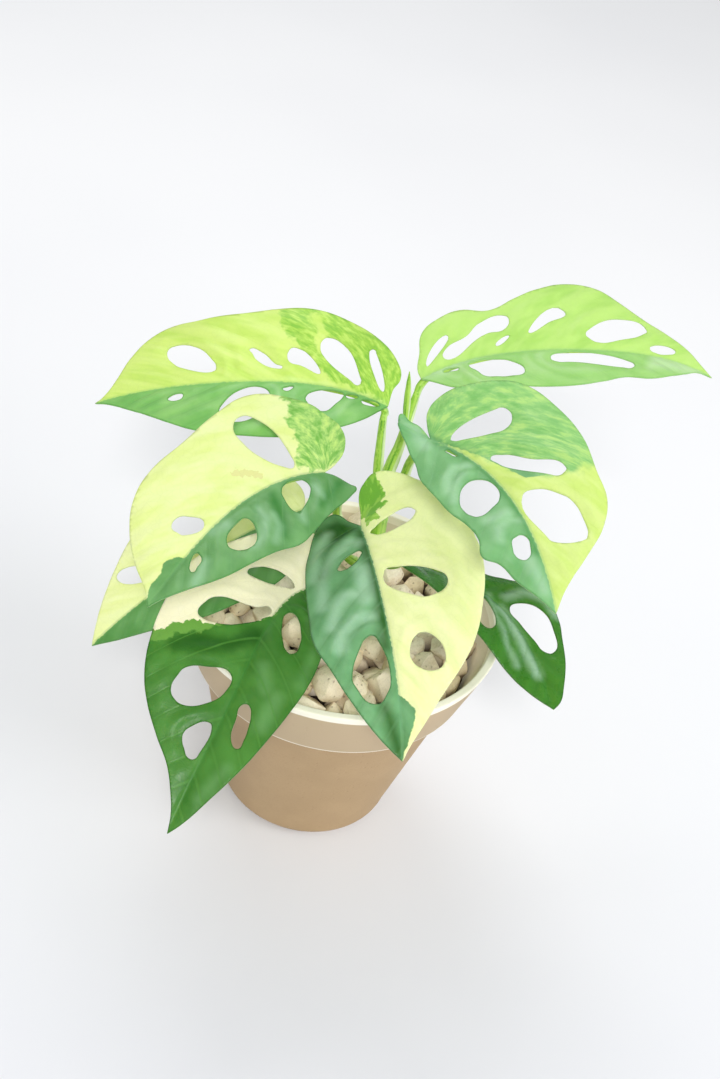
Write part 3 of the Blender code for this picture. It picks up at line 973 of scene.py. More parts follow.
    def halo(self, places: np.ndarray) -> np.ndarray:
        """Find the raised rings that lie round the holes, strongest on the side of the base.

        Args:
            places: places on the flat blade.

        Returns:
            From 0 to 1 at each place.
        """
        total = np.zeros(len(places))
        for hole in self.holes:
            corners = np.array(hole)
            distance = -Patch(Marking.BLOOM, hole).depth(places)
            uneven = 0.7 * np.sin(places[:, 0] * 0.31 + corners[0, 0])
            distance += uneven * np.sin(places[:, 1] * 0.27 + corners[0, 1])
            rest = places - corners.mean(axis=0)
            basal = 0.5 - 0.5 * rest[:, 0] / np.maximum(np.hypot(*rest.T), 0.1)
            same = np.clip(places[:, 1] * np.sign(corners[0, 1]) / 2, 0, 1)
            size = min(1.0, np.ptp(corners, axis=0).prod() / self.FULL_HOLE)
            waves = (0.5 + 0.5 * np.cos((distance - self.RING_TOP) * math.tau / self.RING_WAVE)) ** 1.5
            fading = np.exp(-(distance / self.RING_FADE) ** 2)
            total = np.maximum(total, waves * fading * basal * same * size)
        return total

    def mark(self, item: Object) -> tuple[np.ndarray, np.ndarray]:
        """Write the blade's markings, its vein numbers and its distances on the flat mesh.

        Args:
            item: the flat blade.

        Returns:
            The flat places of its vertices, and how far each is raised.
        """
        mesh = item.data
        places = read_points(mesh)[:, :2]
        for marking in Marking:
            depth = np.full(len(places), -50.0)
            own = [patch for patch in self.patches if patch.marking is marking]
            for patch in sorted(own, key=lambda patch: patch.cut):
                inside = patch.depth(places)
                depth = np.minimum(depth, -inside) if patch.cut else np.maximum(depth, inside)
            add_attribute(mesh, marking.value, depth)
        edge = self.edge_distance(mesh, places)
        halo = self.halo(places)
        add_attribute(mesh, "margin", edge)
        add_attribute(mesh, "halo", halo)

        corners = read_rows(mesh.loops, "vertex_index", 1, int)
        sizes = read_rows(mesh.polygons, "loop_total", 1, int)
        left = np.repeat(read_rows(mesh.polygons, "center", 3)[:, 1] > 0, sizes)
        along, out = places[corners, 0], np.abs(places[corners, 1])
        phase = self.vein_phase(along, out, left)
        step = 0.2
        ahead = self.vein_phase(along + step, out, left) - phase
        beside = self.vein_phase(along, out + step, left) - phase
        spacing = step / np.maximum(np.hypot(ahead, beside), 0.005)
        for name, pair in (("blade", places[corners] / 100), ("veins", np.stack([phase, spacing], 1))):
            layer = mesh.uv_layers.new(name=name)
            layer.data.foreach_set("uv", pair.astype(np.float32).ravel())

        side = np.where(places[:, 1] >= 0, 1, -1)
        width = np.abs(places[:, 1])
        phase = self.vein_phase(places[:, 0], width, side > 0)
        puff = np.sin(math.pi * (phase - np.floor(phase))) ** 2
        fade = np.clip(width / 5, 0, 1) * np.clip(edge / 4, 0, 1)
        groove = self.groove * np.exp(-(width / 1.1) ** 2)
        raised = self.swell * puff * fade + self.ring * halo * fade - groove
        ripple = np.sin(places[:, 0] * 0.19 + side * 1.3 + len(self.name)) * np.clip(1 - edge / 9, 0, 1)
        return places, raised + self.wave * ripple * np.clip(width / 8, 0, 1)

    def build(self, effects: SharedEffects) -> None:
        """Build and dress the blade.

        Args:
            effects: the shared node groups.
        """
        item = self.sheet(0.9, 8)
        flat, raised = self.mark(item)
        near = 0.05
        places = self.bent(flat)
        side = np.where(flat[:, 1] >= 0, 1, -1)
        ahead = self.bent(flat + (near, 0)) - places
        beside = (self.bent(flat + np.stack([0 * side, near * side], 1)) - places) * side[:, None]
        normal = np.cross(ahead, beside)
        normal /= np.linalg.norm(normal, axis=1)[:, None]
        row = np.clip(flat[:, 0] / self.length * self.FRAME_STEPS, 0, self.FRAME_STEPS).astype(int)
        on_midrib = np.abs(flat[:, 1]) < near
        normal[on_midrib] = self.midrib()[3][row][on_midrib]
        write_points(item.data, places + normal * raised[:, None])
        count = len(item.data.vertices)
        apply_modifier(item, "SOLIDIFY", thickness=self.THICKNESS * MM, offset=0)
        mesh = item.data
        first_up = (read_rows(mesh.vertices, "normal", 3)[:count] * normal).sum() > 0
        first = np.arange(len(mesh.vertices)) < count
        add_attribute(mesh, "under", (first ^ first_up).astype(float))
        select_only(item)
        bpy.ops.object.shade_smooth()
        finish_piece(item, f"leaf_{self.name}", self.finish.material(item.name, effects))


GREEN_HALF = LeafFinish(
    green="568D50", light_green="74A86D", deep="357A36", painted_sheen="9AC4A2", pale="E0EBA3", pale_shade="D0E381",
    mottle=("98C66C", "70AC4C", "BEDF7C"), mottle_soft=0.07, mottle_edge=0.6, mottle_size=0.7,
    cream="D6D792", painted_sheen_share=0.55, ring_sheen_share=0.3,
)

UPPER_LEFT = Leaf(
    name="upper_left", slot="lime_leaf", length=106.5, base=(0, 22.5, 169),
    finish=LeafFinish(
        green="6FB15D", light_green="93C977", deep="468F3C", painted_sheen="B6DCAC", pale="D0EB80",
        pale_shade="B6DE5E", mottle=("A2D155", "86C048", "BEE46E"), mottle_soft=0.07, mottle_edge=0.9,
        mottle_size=0.7,
    ),
    heading=(172, 188, 185, 190), pitch=(13, -6, -19, -30), roll=(20, 20, 15),
    right=traced("""
        1,6 0.5,11.5 3.5,17.5 11,24.5 19,28 29,30.5 41,30.5 55,28.5 68,27.5 79,27 86,23 93,14.5 98,6.5
        103,1.5
    """),
    left=traced("2,4 7,11.5 15,18 27,22.5 40,25 52,24.5 66,21.5 77.5,17 89.5,10 99,4"),
    holes=outlines("""
        11.5,-16.5 11.5,-18 10.5,-19 9.5,-17.5 3.5,-4.5 4,-4 9.5,-11;
        26.5,-14.5 26,-17.5 24.5,-19 19.5,-17.5 12.5,-7 11.5,-4.5 12.5,-3 15,-4 25.5,-11.5;
        36.5,-12.5 35.5,-13.5 33,-13 30.5,-11.5 25.5,-4.5 26,-4 32.5,-6.5 36,-7.5 37,-9.5;
        50,-13 45.5,-11.5 41,-7 38.5,-5.5 40.5,-5 47.5,-8.5 49,-11;
        79.5,-16.5 78,-17.5 69.5,-15.5 63,-9 61.5,-6 62,-4.5 74.5,-7.5 77.5,-10 79.5,-13;
        9.5,3.8 7.2,1.2 3,1.2 6,4;
        15.5,3.4 13.5,1.2 11.3,1.2 14,4.1;
        29.5,6 28,4 18,1.5 16.5,2 16.5,4 18.5,8 23,12.5 29.5,8;
        38,3.5 36.5,2.5 34.5,2 35,3.5 37,4.5;
        59.5,13.5 58.5,10.5 53,4.5 46,3 42.5,6 44.5,14.5 48.5,18 53.5,19 57.5,17.5;
        78,6.5 77,5 74.5,4 73,4.5 73,6.5 74.5,7.5 77,7.5
    """),
    stem_height=124, route=((1.9, 20, 141.7), (0.2, 21, 155.4), (-0.7, 22, 165.2)), gain=2.2,
    patches=(
        Patch(Marking.PALE, RIGHT_HALF),
        Patch(Marking.MOTTLE, traced("""
            39.3,-36 40,-24.1 37.6,-19.1 34.5,-15.2 29.7,-10.9 25.3,-5.4 20.9,-2.4 12.6,-1.6 0,-0.5 -12,-10
            -5,-40
        """)),
        Patch(Marking.MOTTLE, traced("29,-27.7 26.9,-22.8 26.7,-12.9"), cut=True, width=3),
    ),
)

UPPER_RIGHT = Leaf(
    name="upper_right", slot="lime_leaf", length=116, base=(9, 18, 186),
    finish=LeafFinish(
        green="8BC06B", light_green="9CCB7C", deep="73AE57", painted_sheen="C8E2BA", pale="B2DB77",
        pale_shade="9ACB5F", mottle=("A9E36A", "A4DC7A", "C8F08C"), painted_sheen_share=0.5,
    ),
    heading=(44, 23, 22, 10), pitch=(21, 6, -5, -24), roll=(-15, -18, -12),
    right=traced("""
        1.5,2.2 8,9.5 17,14.5 28,15.5 42,17 54,17.5 64,15.5 74,12.5 85,12.5 94,9.5 102,5.5 109,1.7
    """),
    left=traced("""
        0.5,3 4,8 8,14.5 15,18 22,19.5 31,17.5 40,21 49,25 61,28.5 72,26.5 80,21 88,16 96,12 105,6.5 111,2.2
    """),
    holes=outlines("""
        8,-1.6 12,-1.5 13.5,-2.7 10,-2.6;
        17.5,-2.5 20.5,-1.5 27.5,-2.5 32.5,-4 36.5,-9 29,-11.5 25,-11 20.5,-9.5 19,-6.5;
        47.5,-4.5 54,-1.5 62.5,-1.5 77.5,-4.5 79.5,-6 78,-8 74,-8 53.5,-7 49.5,-6.5;
        4,3 14.5,11 15,10 5,3;
        10.5,3.5 12.5,6 21,9 26.5,13 35.5,14.5 36.5,13 34,9 28,8.5 12.5,2;
        29.5,3.5 35,6.5 35,6 30,3;
        42,7 57.5,16 50,10.5 42.5,6.5;
        63.5,6 65.5,8.5 78.5,13.5 89,11.5 86.5,8.5 76.5,4.5 67,3 64.5,4.5;
        88.5,2.5 90,4.5 99.5,5 99.5,4 96,2 90.5,1.5
    """),
    stem_height=144, route=((7, 16, 158), (8.1, 16, 173.3), (8.7, 16.8, 181)),
    patches=(
        Patch(Marking.PALE, LEFT_HALF),
        # painted sheen: pale reflections near the tip and at the base
        Patch(Marking.BLOOM, traced("84,-8 112,-4 112,3 96,5 88,0")),
        Patch(Marking.BLOOM, traced("0,0 3,9 9,13 14,4 24,1 8,-3")),
    ),
)

MIDDLE_LEFT = Leaf(
    name="middle_left", slot="half_lime_leaf", length=83, base=(-15.5, -14, 162),
    finish=GREEN_HALF,
    heading=(-150, -126, -113, -111), pitch=(6, -8, -15, -24), roll=(25, 10, -5),
    right=traced("""
        -4,2.5 -7.5,7 -7.5,14.5 -2,21.5 5,28 13,32.5 23,30.5 33,28.5 44,28.5 54,26 64,20 72,12.5 79,3.5
    """),
    left=traced("""
        -3,1.8 -6.8,6 -8.3,7.8 -6.5,10 1.5,15.5 10,19.2 21,22.7 31,24 40,22 52,18.5 63.5,14 72,8.5 79.5,2.5
    """),
    holes=outlines("""
        21,-23.5 17.5,-26 14.5,-23 10,-7.5 10,-4 11,-3 13.5,-4 19,-9.5 21.5,-17;
        56,-10 54,-10.5 52,-10 50.5,-8.5 48.5,-3 56.5,-5 57,-7 57,-9;
        19.5,4 17,2 11.5,1.5 9.5,2.5 8.5,5 9.5,7.5 18,13.5 20,14 20.5,6;
        51,8.5 40.5,5 38,5.5 37.5,7 39,10.5 44,14.5 47.5,14.5 49.5,13.5 51,11.5;
        64,3 61.5,2 59,2 59,3 60.5,5 63.5,5.5 66,5.5 65.5,4
    """),
    stem_height=106, route=((-3.5, 13, 116), (-8.6, 9.5, 126), (-9.8, 3, 139), (-11.8, -6, 152.5)),
    patches=(
        Patch(Marking.PALE, RIGHT_HALF),
        Patch(Marking.PALE, traced("""
            61,3 63.2,-1.7 67.5,-4.4 71.2,-2.9 76.3,-3.3 79.9,-1.8 90,0 90,3
        """), cut=True),
        Patch(Marking.MOTTLE, traced("""
            5.8,-36 6.3,-22.6 7.7,-19.9 7.7,-16.1 6.7,-12.1 7,-7.8 9.5,-4 5.3,-1.2 -2,-2.1 -14,-7 -14,-36
        """)),
        *strokes(Marking.CREAM, "2.2: 29.3,-9.3 26,-7.2 22.9,-4.5"),
        # painted sheen: pale reflections on the raised crescents
        *strokes(Marking.BLOOM, """
            3: 31.5,6 33,10.5 39.5,14.5 45.5,15;
            2.5: 30,10.5 31.5,15 38.5,18.5;
            4: 49,1 44.5,2.5;
            3: 18,12 20.5,17;
            3: 7,6 6.5,10;
            3: 60.5,6.5 69.5,9
        """),
        # painted shade: darker bands between the painted sheen crescents and near the base
        *strokes(Marking.DEEP_SHADE, """
            4: 24,4 27,12 33,19;
            3: -4,5 2,10 9,14
        """),
    ),
)

FRONT = Leaf(
    name="front", slot="half_lime_leaf", length=98, base=(0, -6, 137),
    finish=LeafFinish(
        green="5B9562", light_green="76AC7D", deep="1F5518", painted_sheen="A6CDB0", pale="F6FDB6",
        pale_shade="E6F3A0", mottle=("94C655", "72AE42", "A8D46A"), mottle_soft=0.012, mottle_size=2.6,
        painted_sheen_share=0.6, ring_sheen_share=0.15,
    ),
    heading=(-71, -71, -72, -78), pitch=(10, -4, -14, -24), roll=(-35, -20, -8),
    right=traced("""
        -3.5,3 -8,6 -8.5,8.5 -4.5,15.5 6.5,20.5 22,23.5 40,25 54.5,24.5 65,20.5 77,15.5 88,9.5 95,3.5
    """),
    left=traced("""
        -4.5,1.7 -11,4.5 -13,8.5 -13.5,13 -9,21 -1.5,26 10,31.5 25.5,35.5 37,35.5 50.5,31.5 61.5,26.5
        70.5,20 77.5,14 86,7.5 94,2
    """),
    holes=outlines("""
        22.5,-12 19.5,-11 16.5,-8.5 15,-6 14.5,-3 18,-4 20.5,-6 23,-10.5;
        69,-14 57.5,-10 54.5,-8 53.5,-5.5 56,-4 70.5,-2 75,-3.5 79,-7.5 71.5,-13.5;
        7,2.5 6.5,4.5 6,7.5 9.5,20 12,18.5 13,13 11.5,5.5 9.5,3.5;
        27.5,3 28,7.5 36,21 38,22.5 40.5,22.5 42.5,21 43.5,18.5 43,12.5;
        61,5.5 55.5,9 55.5,11 56.5,13 63,16.5 68.5,15 69.5,11 68,8 65.5,6
    """),
    stem_height=112, route=((4.5, 8, 121), (1.5, 0, 129)),
    patches=(
        Patch(Marking.PALE, LEFT_HALF),
        Patch(Marking.PALE, traced("""
            74,-3 76,0.4 78.3,2.4 80.2,3.8 81.7,5.2 84.3,4.4 87.4,3.5 90.6,2.4 97,0 110,0 110,-3
        """), cut=True),
        Patch(Marking.MOTTLE, traced("""
            -20,14 -3.7,12.7 -3.2,10.8 -0.4,12.5 0.8,11.2 0,8 2.7,8 4.8,6.4 3.4,2.5 -6.9,2 -20,2
        """)),
        # painted shade: a darker base, darker green along the midrib, a dark line between the sheen
        # crescents and a darker tip
        Patch(Marking.DEEP_SHADE, traced("-3.8,-16.9 -6.4,-6.7 1.7,0 5.2,-5.9 8.5,-9.4 3.7,-12.3")),
        *strokes(Marking.DEEP_SHADE, """
            4: 4,-1 14,-1 26,-1 44,-1 58,-2;
            1.5: 6,-7 8,-12 15,-15.5 24,-18;
            3: 80,-5 96,-1
        """),
        # painted sheen: pale crescents of reflection on the puckered green half
        *strokes(Marking.BLOOM, """
            4: 0,-12.5 5.5,-16.5 11.5,-18.5 24,-20.5;
            4: 10,-3.5 9,-6 13,-11.5 19.5,-16 28,-18.5 38,-20;
            4: 35,-8.5 35,-12 39,-15.5 48,-18;
            4: 46,-5.5 46,-10 51.5,-15.5 57.5,-16.5;
            5: 24,-4.5 38,-5.5
        """),
    ),
)

MIDDLE_RIGHT = Leaf(
    name="middle_right", slot="half_lime_leaf", length=84, base=(16, -7, 180),
    finish=LeafFinish(
        green="66A168", light_green="80B780", deep="47884A", painted_sheen="A9CFB0", pale="CFE689",
        pale_shade="BDDD69", mottle=("8EC476", "78B566", "ACD67C"), mottle_soft=0.07, mottle_edge=2.0,
        mottle_size=1.0, painted_sheen_share=0.55, ring_sheen_share=0.2,
    ),
    heading=(-23, -49, -64, -72), pitch=(8, 1, -9, -18), roll=(-30, -18, -8),
    right=traced("""
        -5,-2.4 -8.5,-2.4 -11.5,-3 -11.5,-0.5 -9,3 -6,5.5 -3,8.5 1.5,12 8,16.5 15,18.7 25,20 35,20 43,18.5
        53,17.2 61,18 64.5,13.7 72,10 78,5.2 82,1.8
    """),
    left=traced("""
        -2.6,3.4 -4.6,8 -3,15 1.5,21 6.5,27 13,32.5 23,33.3 32.5,31.7 42,28.5 50.5,27 58.5,22 67,13.5
        76.5,4.5
    """),
    holes=outlines("""
        7.5,-1.9 11,-1.5 12.5,-2.1 9.5,-2.7;
        31.5,-15 25.5,-9 26.5,-4 31.5,-1.5 38,-4 40,-7 42.5,-13.5 41,-15 37.5,-16;
        56,-7 55,-5.5 54.5,-3.5 56,-2 58.5,-2 64,-4.5 64,-6.5 62,-8 59.5,-8;
        6.5,2.5 12,19 13,21 14.5,21.5 16.5,20.5 18,16 15.5,10.5 10,4 8,2.5;
        21.5,4.5 23.5,8 30,13 38,20.5 39.5,18.5 39.5,16.5 38,14.5 29,6 25,4.5;
        40,3.5 40.5,8.5 45,14 47.5,16 54.5,17 60.9,15.7 61.6,14.6 59.5,5 57.5,4
    """),
    stem_height=130, route=((10.5, 17, 141), (12, 13, 155), (14, 4, 167.5)),
    patches=(
        Patch(Marking.PALE, traced("""
            29.8,-0.1 35.2,5.5 37.5,13.2 38,20.9 38.9,26.8 39.6,29.6 41,45 110,45 110,0
        """)),
        Patch(Marking.PALE, traced("3,0 12,1.2 22,3.2 31,6 36,8 36,0")),
        Patch(Marking.MOTTLE, traced("""
            -3,2 3,0.5 12,1.8 22,4 29,7 38,14 40,21 40.5,27 41,45 -14,45 -14,3.4 -4,3.2
        """)),
        # painted sheen: pale reflections on the puffed blade
        *strokes(Marking.BLOOM, """
            2.5: 19,-3 16.5,-7 18,-11.5 24.5,-15.5;
            2.5: 21,-7.5 24,-12.5 30.5,-16.4;
            2.5: 48.5,-2.5 47.5,-5.5 50.5,-9.5 55.5,-11;
            4: 45,-4.5 45.5,-11.5;
            4: -5,0.5 0,-4;
            4: 64.5,-4 76,-2
        """),
        # painted shade: darker green along the midrib groove
        *strokes(Marking.DEEP_SHADE, "2: 3,0 20,-1 40,-1 62,-1"),
    ),
)

FRONT_LEFT = Leaf(
    name="front_left", slot="green_leaf", length=106, base=(-13, -22, 117),
    finish=LeafFinish(
        green="327126", light_green="4A8A3A", deep="1C5414", painted_sheen="7BAE76", pale="E6F5A0",
        pale_shade="D2EC74", fresh="679C46", painted_sheen_share=0.35, vein_share=0.6, ring_sheen_share=0.15,
    ),
    heading=(-127, -99, -104, -100), pitch=(12, -9, -29, -42), roll=(20, 8, 2),
    right=traced("""
        -8.5,6 -11.5,11 -11.5,16 -8,20.5 -1,23.2 11.5,28 24,33.5 37.5,34 49,33 62,29.5 71,24.5 80,16.5 87,9
        93.5,4.5 100,1.3
    """),
    left=traced("-2.5,3.5 -1.5,8.5 6,15 19,19.5 30,21 45,21 56,19 66,16.5 79,13 91.5,8 102,3"),
    holes=outlines("""
        15.5,-16.5 11,-15 8.5,-12.5 6,-8.5 5,-2.5 6,-2 9,-4 15.5,-14;
        37,-22.5 32.5,-22 29.5,-20 24.5,-7 20.5,-2 24.5,-2 33.5,-8.5 37.5,-16 38,-20;
        64.5,-19 59,-19 56,-18 52.5,-12 51,-4 57.5,-3 64,-7 67.5,-13 67,-16.5;
        77.5,-8.5 75.5,-9 73,-8 69,-3 70,-1.8 79,-1.6 81.5,-2.2 82,-4 80,-6.5;
        25.5,4.5 18,3.5 17,5 18.5,7.5 23,10.5 28.5,12.5 35,11.5 34.5,9.5 31,7;
        71.5,6 63.5,4 60,3.5 58.5,5 59,6.5 61.5,8 65.5,9 69.5,9.5 73,9
    """),
    stem_height=94, route=((2, 6, 97), (-6, -9, 107)), lean=0.6, gain=0.5, swell=0.3,
    patches=(
        Patch(Marking.CREAM, traced("""
            -20,0 21.5,0 27.5,-3.2 38.2,-16.3 39.2,-19.5 39.6,-23.3 42.5,-25.4 43.4,-28.2 46.9,-30.1
            48,-32.7 50,-45 -20,-45
        """)),
        Patch(Marking.FRESH, traced("""
            -20,0 23,0 38.8,-15.2 41.4,-17.7 44.5,-21.6 46.9,-25.9 50.1,-27.9 51.5,-31.1 54,-45 -20,-45
        """)),
        # painted shade: a darker band in the green beside the cream sector
        *strokes(Marking.DEEP_SHADE, "5: 34,-2 42,-8 46,-18 50,-24"),
        # painted sheen: pale reflections on the glossy green
        *strokes(Marking.BLOOM, """
            3: 16,11.5 28,18 46,19;
            5: 53.5,13 63,12.5;
            4: 44,5 52,9;
            3: 80,9 92,5
        """),
    ),
)

LOWER_LEFT = Leaf(
    name="lower_left", slot="half_lime_leaf", length=96, base=(-22, 18, 119),
    finish=LeafFinish(
        green="4A8844", light_green="689F61", deep="337534", painted_sheen="A0C7A0", pale="EBF3B0",
        pale_shade="DEEA92",
    ),
    heading=(-135, -129, -128, -122), pitch=(1, -8, -18, -24), roll=(14, 10, 8),
    right=traced("-2,2.5 -3.2,6 -2,11.5 4,19 14,22.5 25,25 37,26 48,25.5 59,22 69.5,17 81.5,10 91,3.5"),
    left=traced("-2,5 1.5,11.5 8.5,17 18,20.7 32,24 48,23 62.5,19 78.5,11.5 88,6"),
    holes=(
        egg((62, -4.8), (73.5, -12.8), 6.5, 0.2), egg((36.5, -3.5), (46, -20.5), 11, 0.2),
        egg((20, -4), (29, -19), 6.5, 0.2), egg((6, -3.5), (13, -14), 5, 0.2),
        egg((10, 3), (20, 11), 5, 0.2), egg((28, 3), (42, 12), 7, 0.1), egg((52, 3.5), (66, 9.5), 6, 0.1),
    ),
    stem_height=96, route=((-2, 20, 100), (-12, 21.5, 112)),
    patches=(
        Patch(Marking.PALE, RIGHT_HALF),
    ),
)

LOWER_RIGHT = Leaf(
    name="lower_right", slot="green_leaf", length=86, base=(16.5, 8, 116),
    finish=LeafFinish(
        green="2F6E20", light_green="3E7E2C", deep="194D12", painted_sheen="A4C5AE", pale="E6F5A0",
        pale_shade="D2EC74", painted_sheen_share=0.7, ring_sheen_share=0.1, roughness=0.3,
    ),
    heading=(-9, -26, -53, -63), pitch=(8, -3, -12, -17), roll=(22, 6, -5),
    right=traced("-4,5 -3,11 3,16 12,20.5 24,23.5 36,23 50,19.3 60,16.8 70,13 77.5,8.5 83,3.8"),
    left=traced("""
        -3,5 -2,11 4,14.5 12,14 21,10.5 29,9 35,12.5 41,17 48,18.5 55,16.5 62,13 70,9.8 78,6.2 84,3
    """),
    holes=(
        egg((31.5, -3.7), (50, -13.3), 8, 0.2),
        traced("44.5,2.5 45,8 50,13 57,12.4 65.5,7 64,4 60,3 51.5,1.7"), egg((7, -2), (18, -7), 4.5, 0.1),
        egg((5, 2.5), (15, 8.5), 5, 0.1),
    ),
    stem_height=100, route=((12.5, 13, 106),),
    patches=(
        # painted sheen: pale grey-green reflections on the glossy blade
        *strokes(Marking.BLOOM, """
            4: 43,-1 51,-2.2 62,-3 72,-2;
            1.2: 36,0 45,-6 58.5,-9.5 68,-9;
            2.5: 40.5,4.5 42,12 47.5,17 53,16.5
        """),
    ),
)

LEAVES = (UPPER_LEFT, UPPER_RIGHT, MIDDLE_LEFT, FRONT, MIDDLE_RIGHT, FRONT_LEFT, LOWER_LEFT, LOWER_RIGHT,)


# Stalks


@dataclass(frozen=True)
class StalkFinish:
    """Fresh green stalk with pale and dark streaks along it."""

    light: str = "B4DC5E"
    middle: str = "8BC43F"
    dark: str = "5E9E34"
    wing: str = "DCEDB4"
    wing_ends: tuple[float, float] = (30.0, 55.0)

    def material(self, name: str) -> Material:
        """Build the material.

        Args:
            name: its name.

        Returns:
            The material.
        """
        material, graph, shader = new_material(name, IOR=1.42, Roughness=0.42)
        place = graph.node("Attribute", attribute_name="stalk").outputs["Vector"]
        streak = graph.noise(graph.scaled(place, (1.1, 1.1, 0.05)), 1.0, 3.0)
        dots = graph.node("TexVoronoi", {"Vector": graph.scaled(place, (1.6, 1.6, 0.5)), "Scale": 1.2})
        parts = graph.split(place)
        low = graph.between(parts[2], *self.wing_ends, 1.0, 0.15)
        base = graph.coated(
            colour(self.middle),
            (self.light, graph.between(streak, 0.4, 0.6), 1),
            (self.dark, graph.between(streak, 0.44, 0.34), 1),
            (self.light, graph.between(dots.outputs["Distance"], 0.1, 0.22, 0.35, 0.0), 1),
            (self.wing, graph.times(graph.between(parts[0], 0.5, 1.1), low), 1),
        )
        graph.finish(shader, base, streak, 0.2, 0.5)
        return material


@dataclass
class Stalks:
    """The main stem, the petioles with the midrib ridges under the blades, and the new leaf."""

    finish: StalkFinish = StalkFinish()
    route: tuple[Place, ...] = ((8, 20, 58), (8, 20, 90), (6.6, 18, 118), (5, 16, 144))
    radii: tuple[float, ...] = (3.4, 3.4, 3.0, 2.5)
    joint_swell: float = 0.12
    joint_length: float = 1.3
    petiole_radius: float = 1.25
    knee_radius: float = 1.4
    sheath_radius: float = 2.3
    ridge_places: tuple[float, ...] = (0.09, 0.18, 0.3, 0.46, 0.62, 0.78, 0.9)
    ridge_tip: float = 0.18
    spear: tuple[Place, ...] = ((6.9, 13.5, 171.5), (5.6, 13.3, 182), (4.4, 13, 191))
    spear_radii: tuple[float, ...] = (1.0, 1.25, 1.15, 0.75, 0.15)

    def tube(self, name: str, route: list, radii: list[float], fineness: int = 8) -> Object:
        """Draw a round stalk along a smooth route.

        Args:
            name: the piece's name.
            route: its points.
            radii: its radius at each point.
            fineness: how many steps each stretch gets.

        Returns:
            The stalk as a mesh.
        """
        item = added(bpy.ops.curve.primitive_bezier_curve_add, name, radius=MM)
        curve = item.data
        curve.resolution_u = fineness
        curve.bevel_depth = MM
        curve.bevel_resolution = 4
        curve.use_fill_caps = True
        spline = curve.splines[0]
        spline.bezier_points.add(len(route) - 2)
        for knot, place, radius in zip(spline.bezier_points, route, radii):
            knot.co = [value * MM for value in place]
            knot.radius = radius
            knot.handle_left_type = knot.handle_right_type = "AUTO"
        bpy.ops.object.convert(target="MESH")
        tidy_mesh(item, 0.01)
        self.number(item, np.array(route, float))
        smooth(item, 50)
        return item

    @staticmethod
    def number(item: Object, route: np.ndarray) -> None:
        """Write where each vertex lies around and along the stalk.

        Args:
            item: the stalk.
            route: its points.
        """
        places = read_points(item.data)
        stretches = [np.linspace(a, b, 12, endpoint=False) for a, b in zip(route, route[1:])]
        steps = np.vstack([*stretches, route[-1:]])
        lengths = np.concatenate([[0], np.cumsum(np.linalg.norm(np.diff(steps, axis=0), axis=1))])
        nearest = np.array([np.linalg.norm(steps - place, axis=1).argmin() for place in places])
        rest = places - steps[nearest]
        marks = np.stack([rest[:, 0], rest[:, 1] + rest[:, 2], lengths[nearest]], 1)
        add_attribute(item.data, "stalk", marks)

    def stem_axis(self, height: float) -> np.ndarray:
        """Find the middle of the stem at a height."""
        xs, ys, heights = zip(*self.route)
        return np.array([np.interp(height, heights, xs), np.interp(height, heights, ys), height])

    def build_stem(self) -> None:
        """Build the main stem, with a ring at each place where a petiole leaves it.
        """
        rings = sorted(leaf.stem_height for leaf in LEAVES)
        known = [place[2] for place in self.route]
        foot, top = known[0], known[-1]
        beside = [ring + step for ring in rings for step in (-1.6, 0, 1.6)]
        heights = sorted({foot, *np.arange(foot + 6.0, top, 5.0), *beside})
        heights = [height for height in heights if height <= top + 0.4]
        radii = []
        for height in heights:
            swell = max(math.exp(-((height - ring) / self.joint_length) ** 2) for ring in rings)
            radii.append(float(np.interp(height, known, self.radii)) * (1 + self.joint_swell * swell))
        item = self.tube("vine", [self.stem_axis(height) for height in heights], radii, 3)
        finish_piece(item, "main_stem", self.finish.material("vine"))

    def build_petiole(self, leaf: Leaf, material: Material) -> None:
        """Build one petiole: sheath, stalk, knee, and the ridge that runs on under the blade.

        Args:
            leaf: its leaf.
            material: the stalks' material.
        """
        points, forward, _, upward = leaf.midrib()
        low = self.petiole_radius + 0.3 + 0.4
        last = np.array(leaf.route[-1], float)
        reach = points[0] + forward[0] * 2.5 - upward[0] * low
        knee = last * 0.25 + points[0] * 0.75 - upward[0] * (low + 0.6)
        axis = self.stem_axis(leaf.stem_height)
        route = [axis - (0, 0, 1.5), axis * 0.45 + np.array(leaf.route[0]) * 0.55, *leaf.route, knee, reach]
        sheath = np.linspace(self.sheath_radius, self.petiole_radius, len(leaf.route) + 1)
        radii = [self.sheath_radius, *sheath, self.knee_radius, self.petiole_radius]
        for share in self.ridge_places:
            row = round(share * leaf.FRAME_STEPS)
            thin = 1 - share + self.ridge_tip
            route.append(points[row] - upward[row] * (0.75 + thin * 0.62))
            radii.append(thin)
        item = self.tube(f"stalk_{leaf.name}", route, radii)
        finish_piece(item, f"petiole_{leaf.name}", material)

    def build_spear(self, material: Material) -> None:
        """Build the new leaf, rolled to a thin pointed spear.

        Args:
            material: the stalks' material.
        """
        foot, middle, tip = (np.array(place, float) for place in self.spear)
        route = [foot, (foot + middle) / 2, middle, middle * 0.45 + tip * 0.55, tip]
        item = self.tube("rolled_leaf", route, list(self.spear_radii))
        finish_piece(item, "new_leaf_spear", material)

    def build(self) -> None:
        """Build all the stalks."""
        self.build_stem()
        material = self.finish.material("petioles")
        for leaf in LEAVES:
            self.build_petiole(leaf, material)
        self.build_spear(material)


# Pot and what fills it


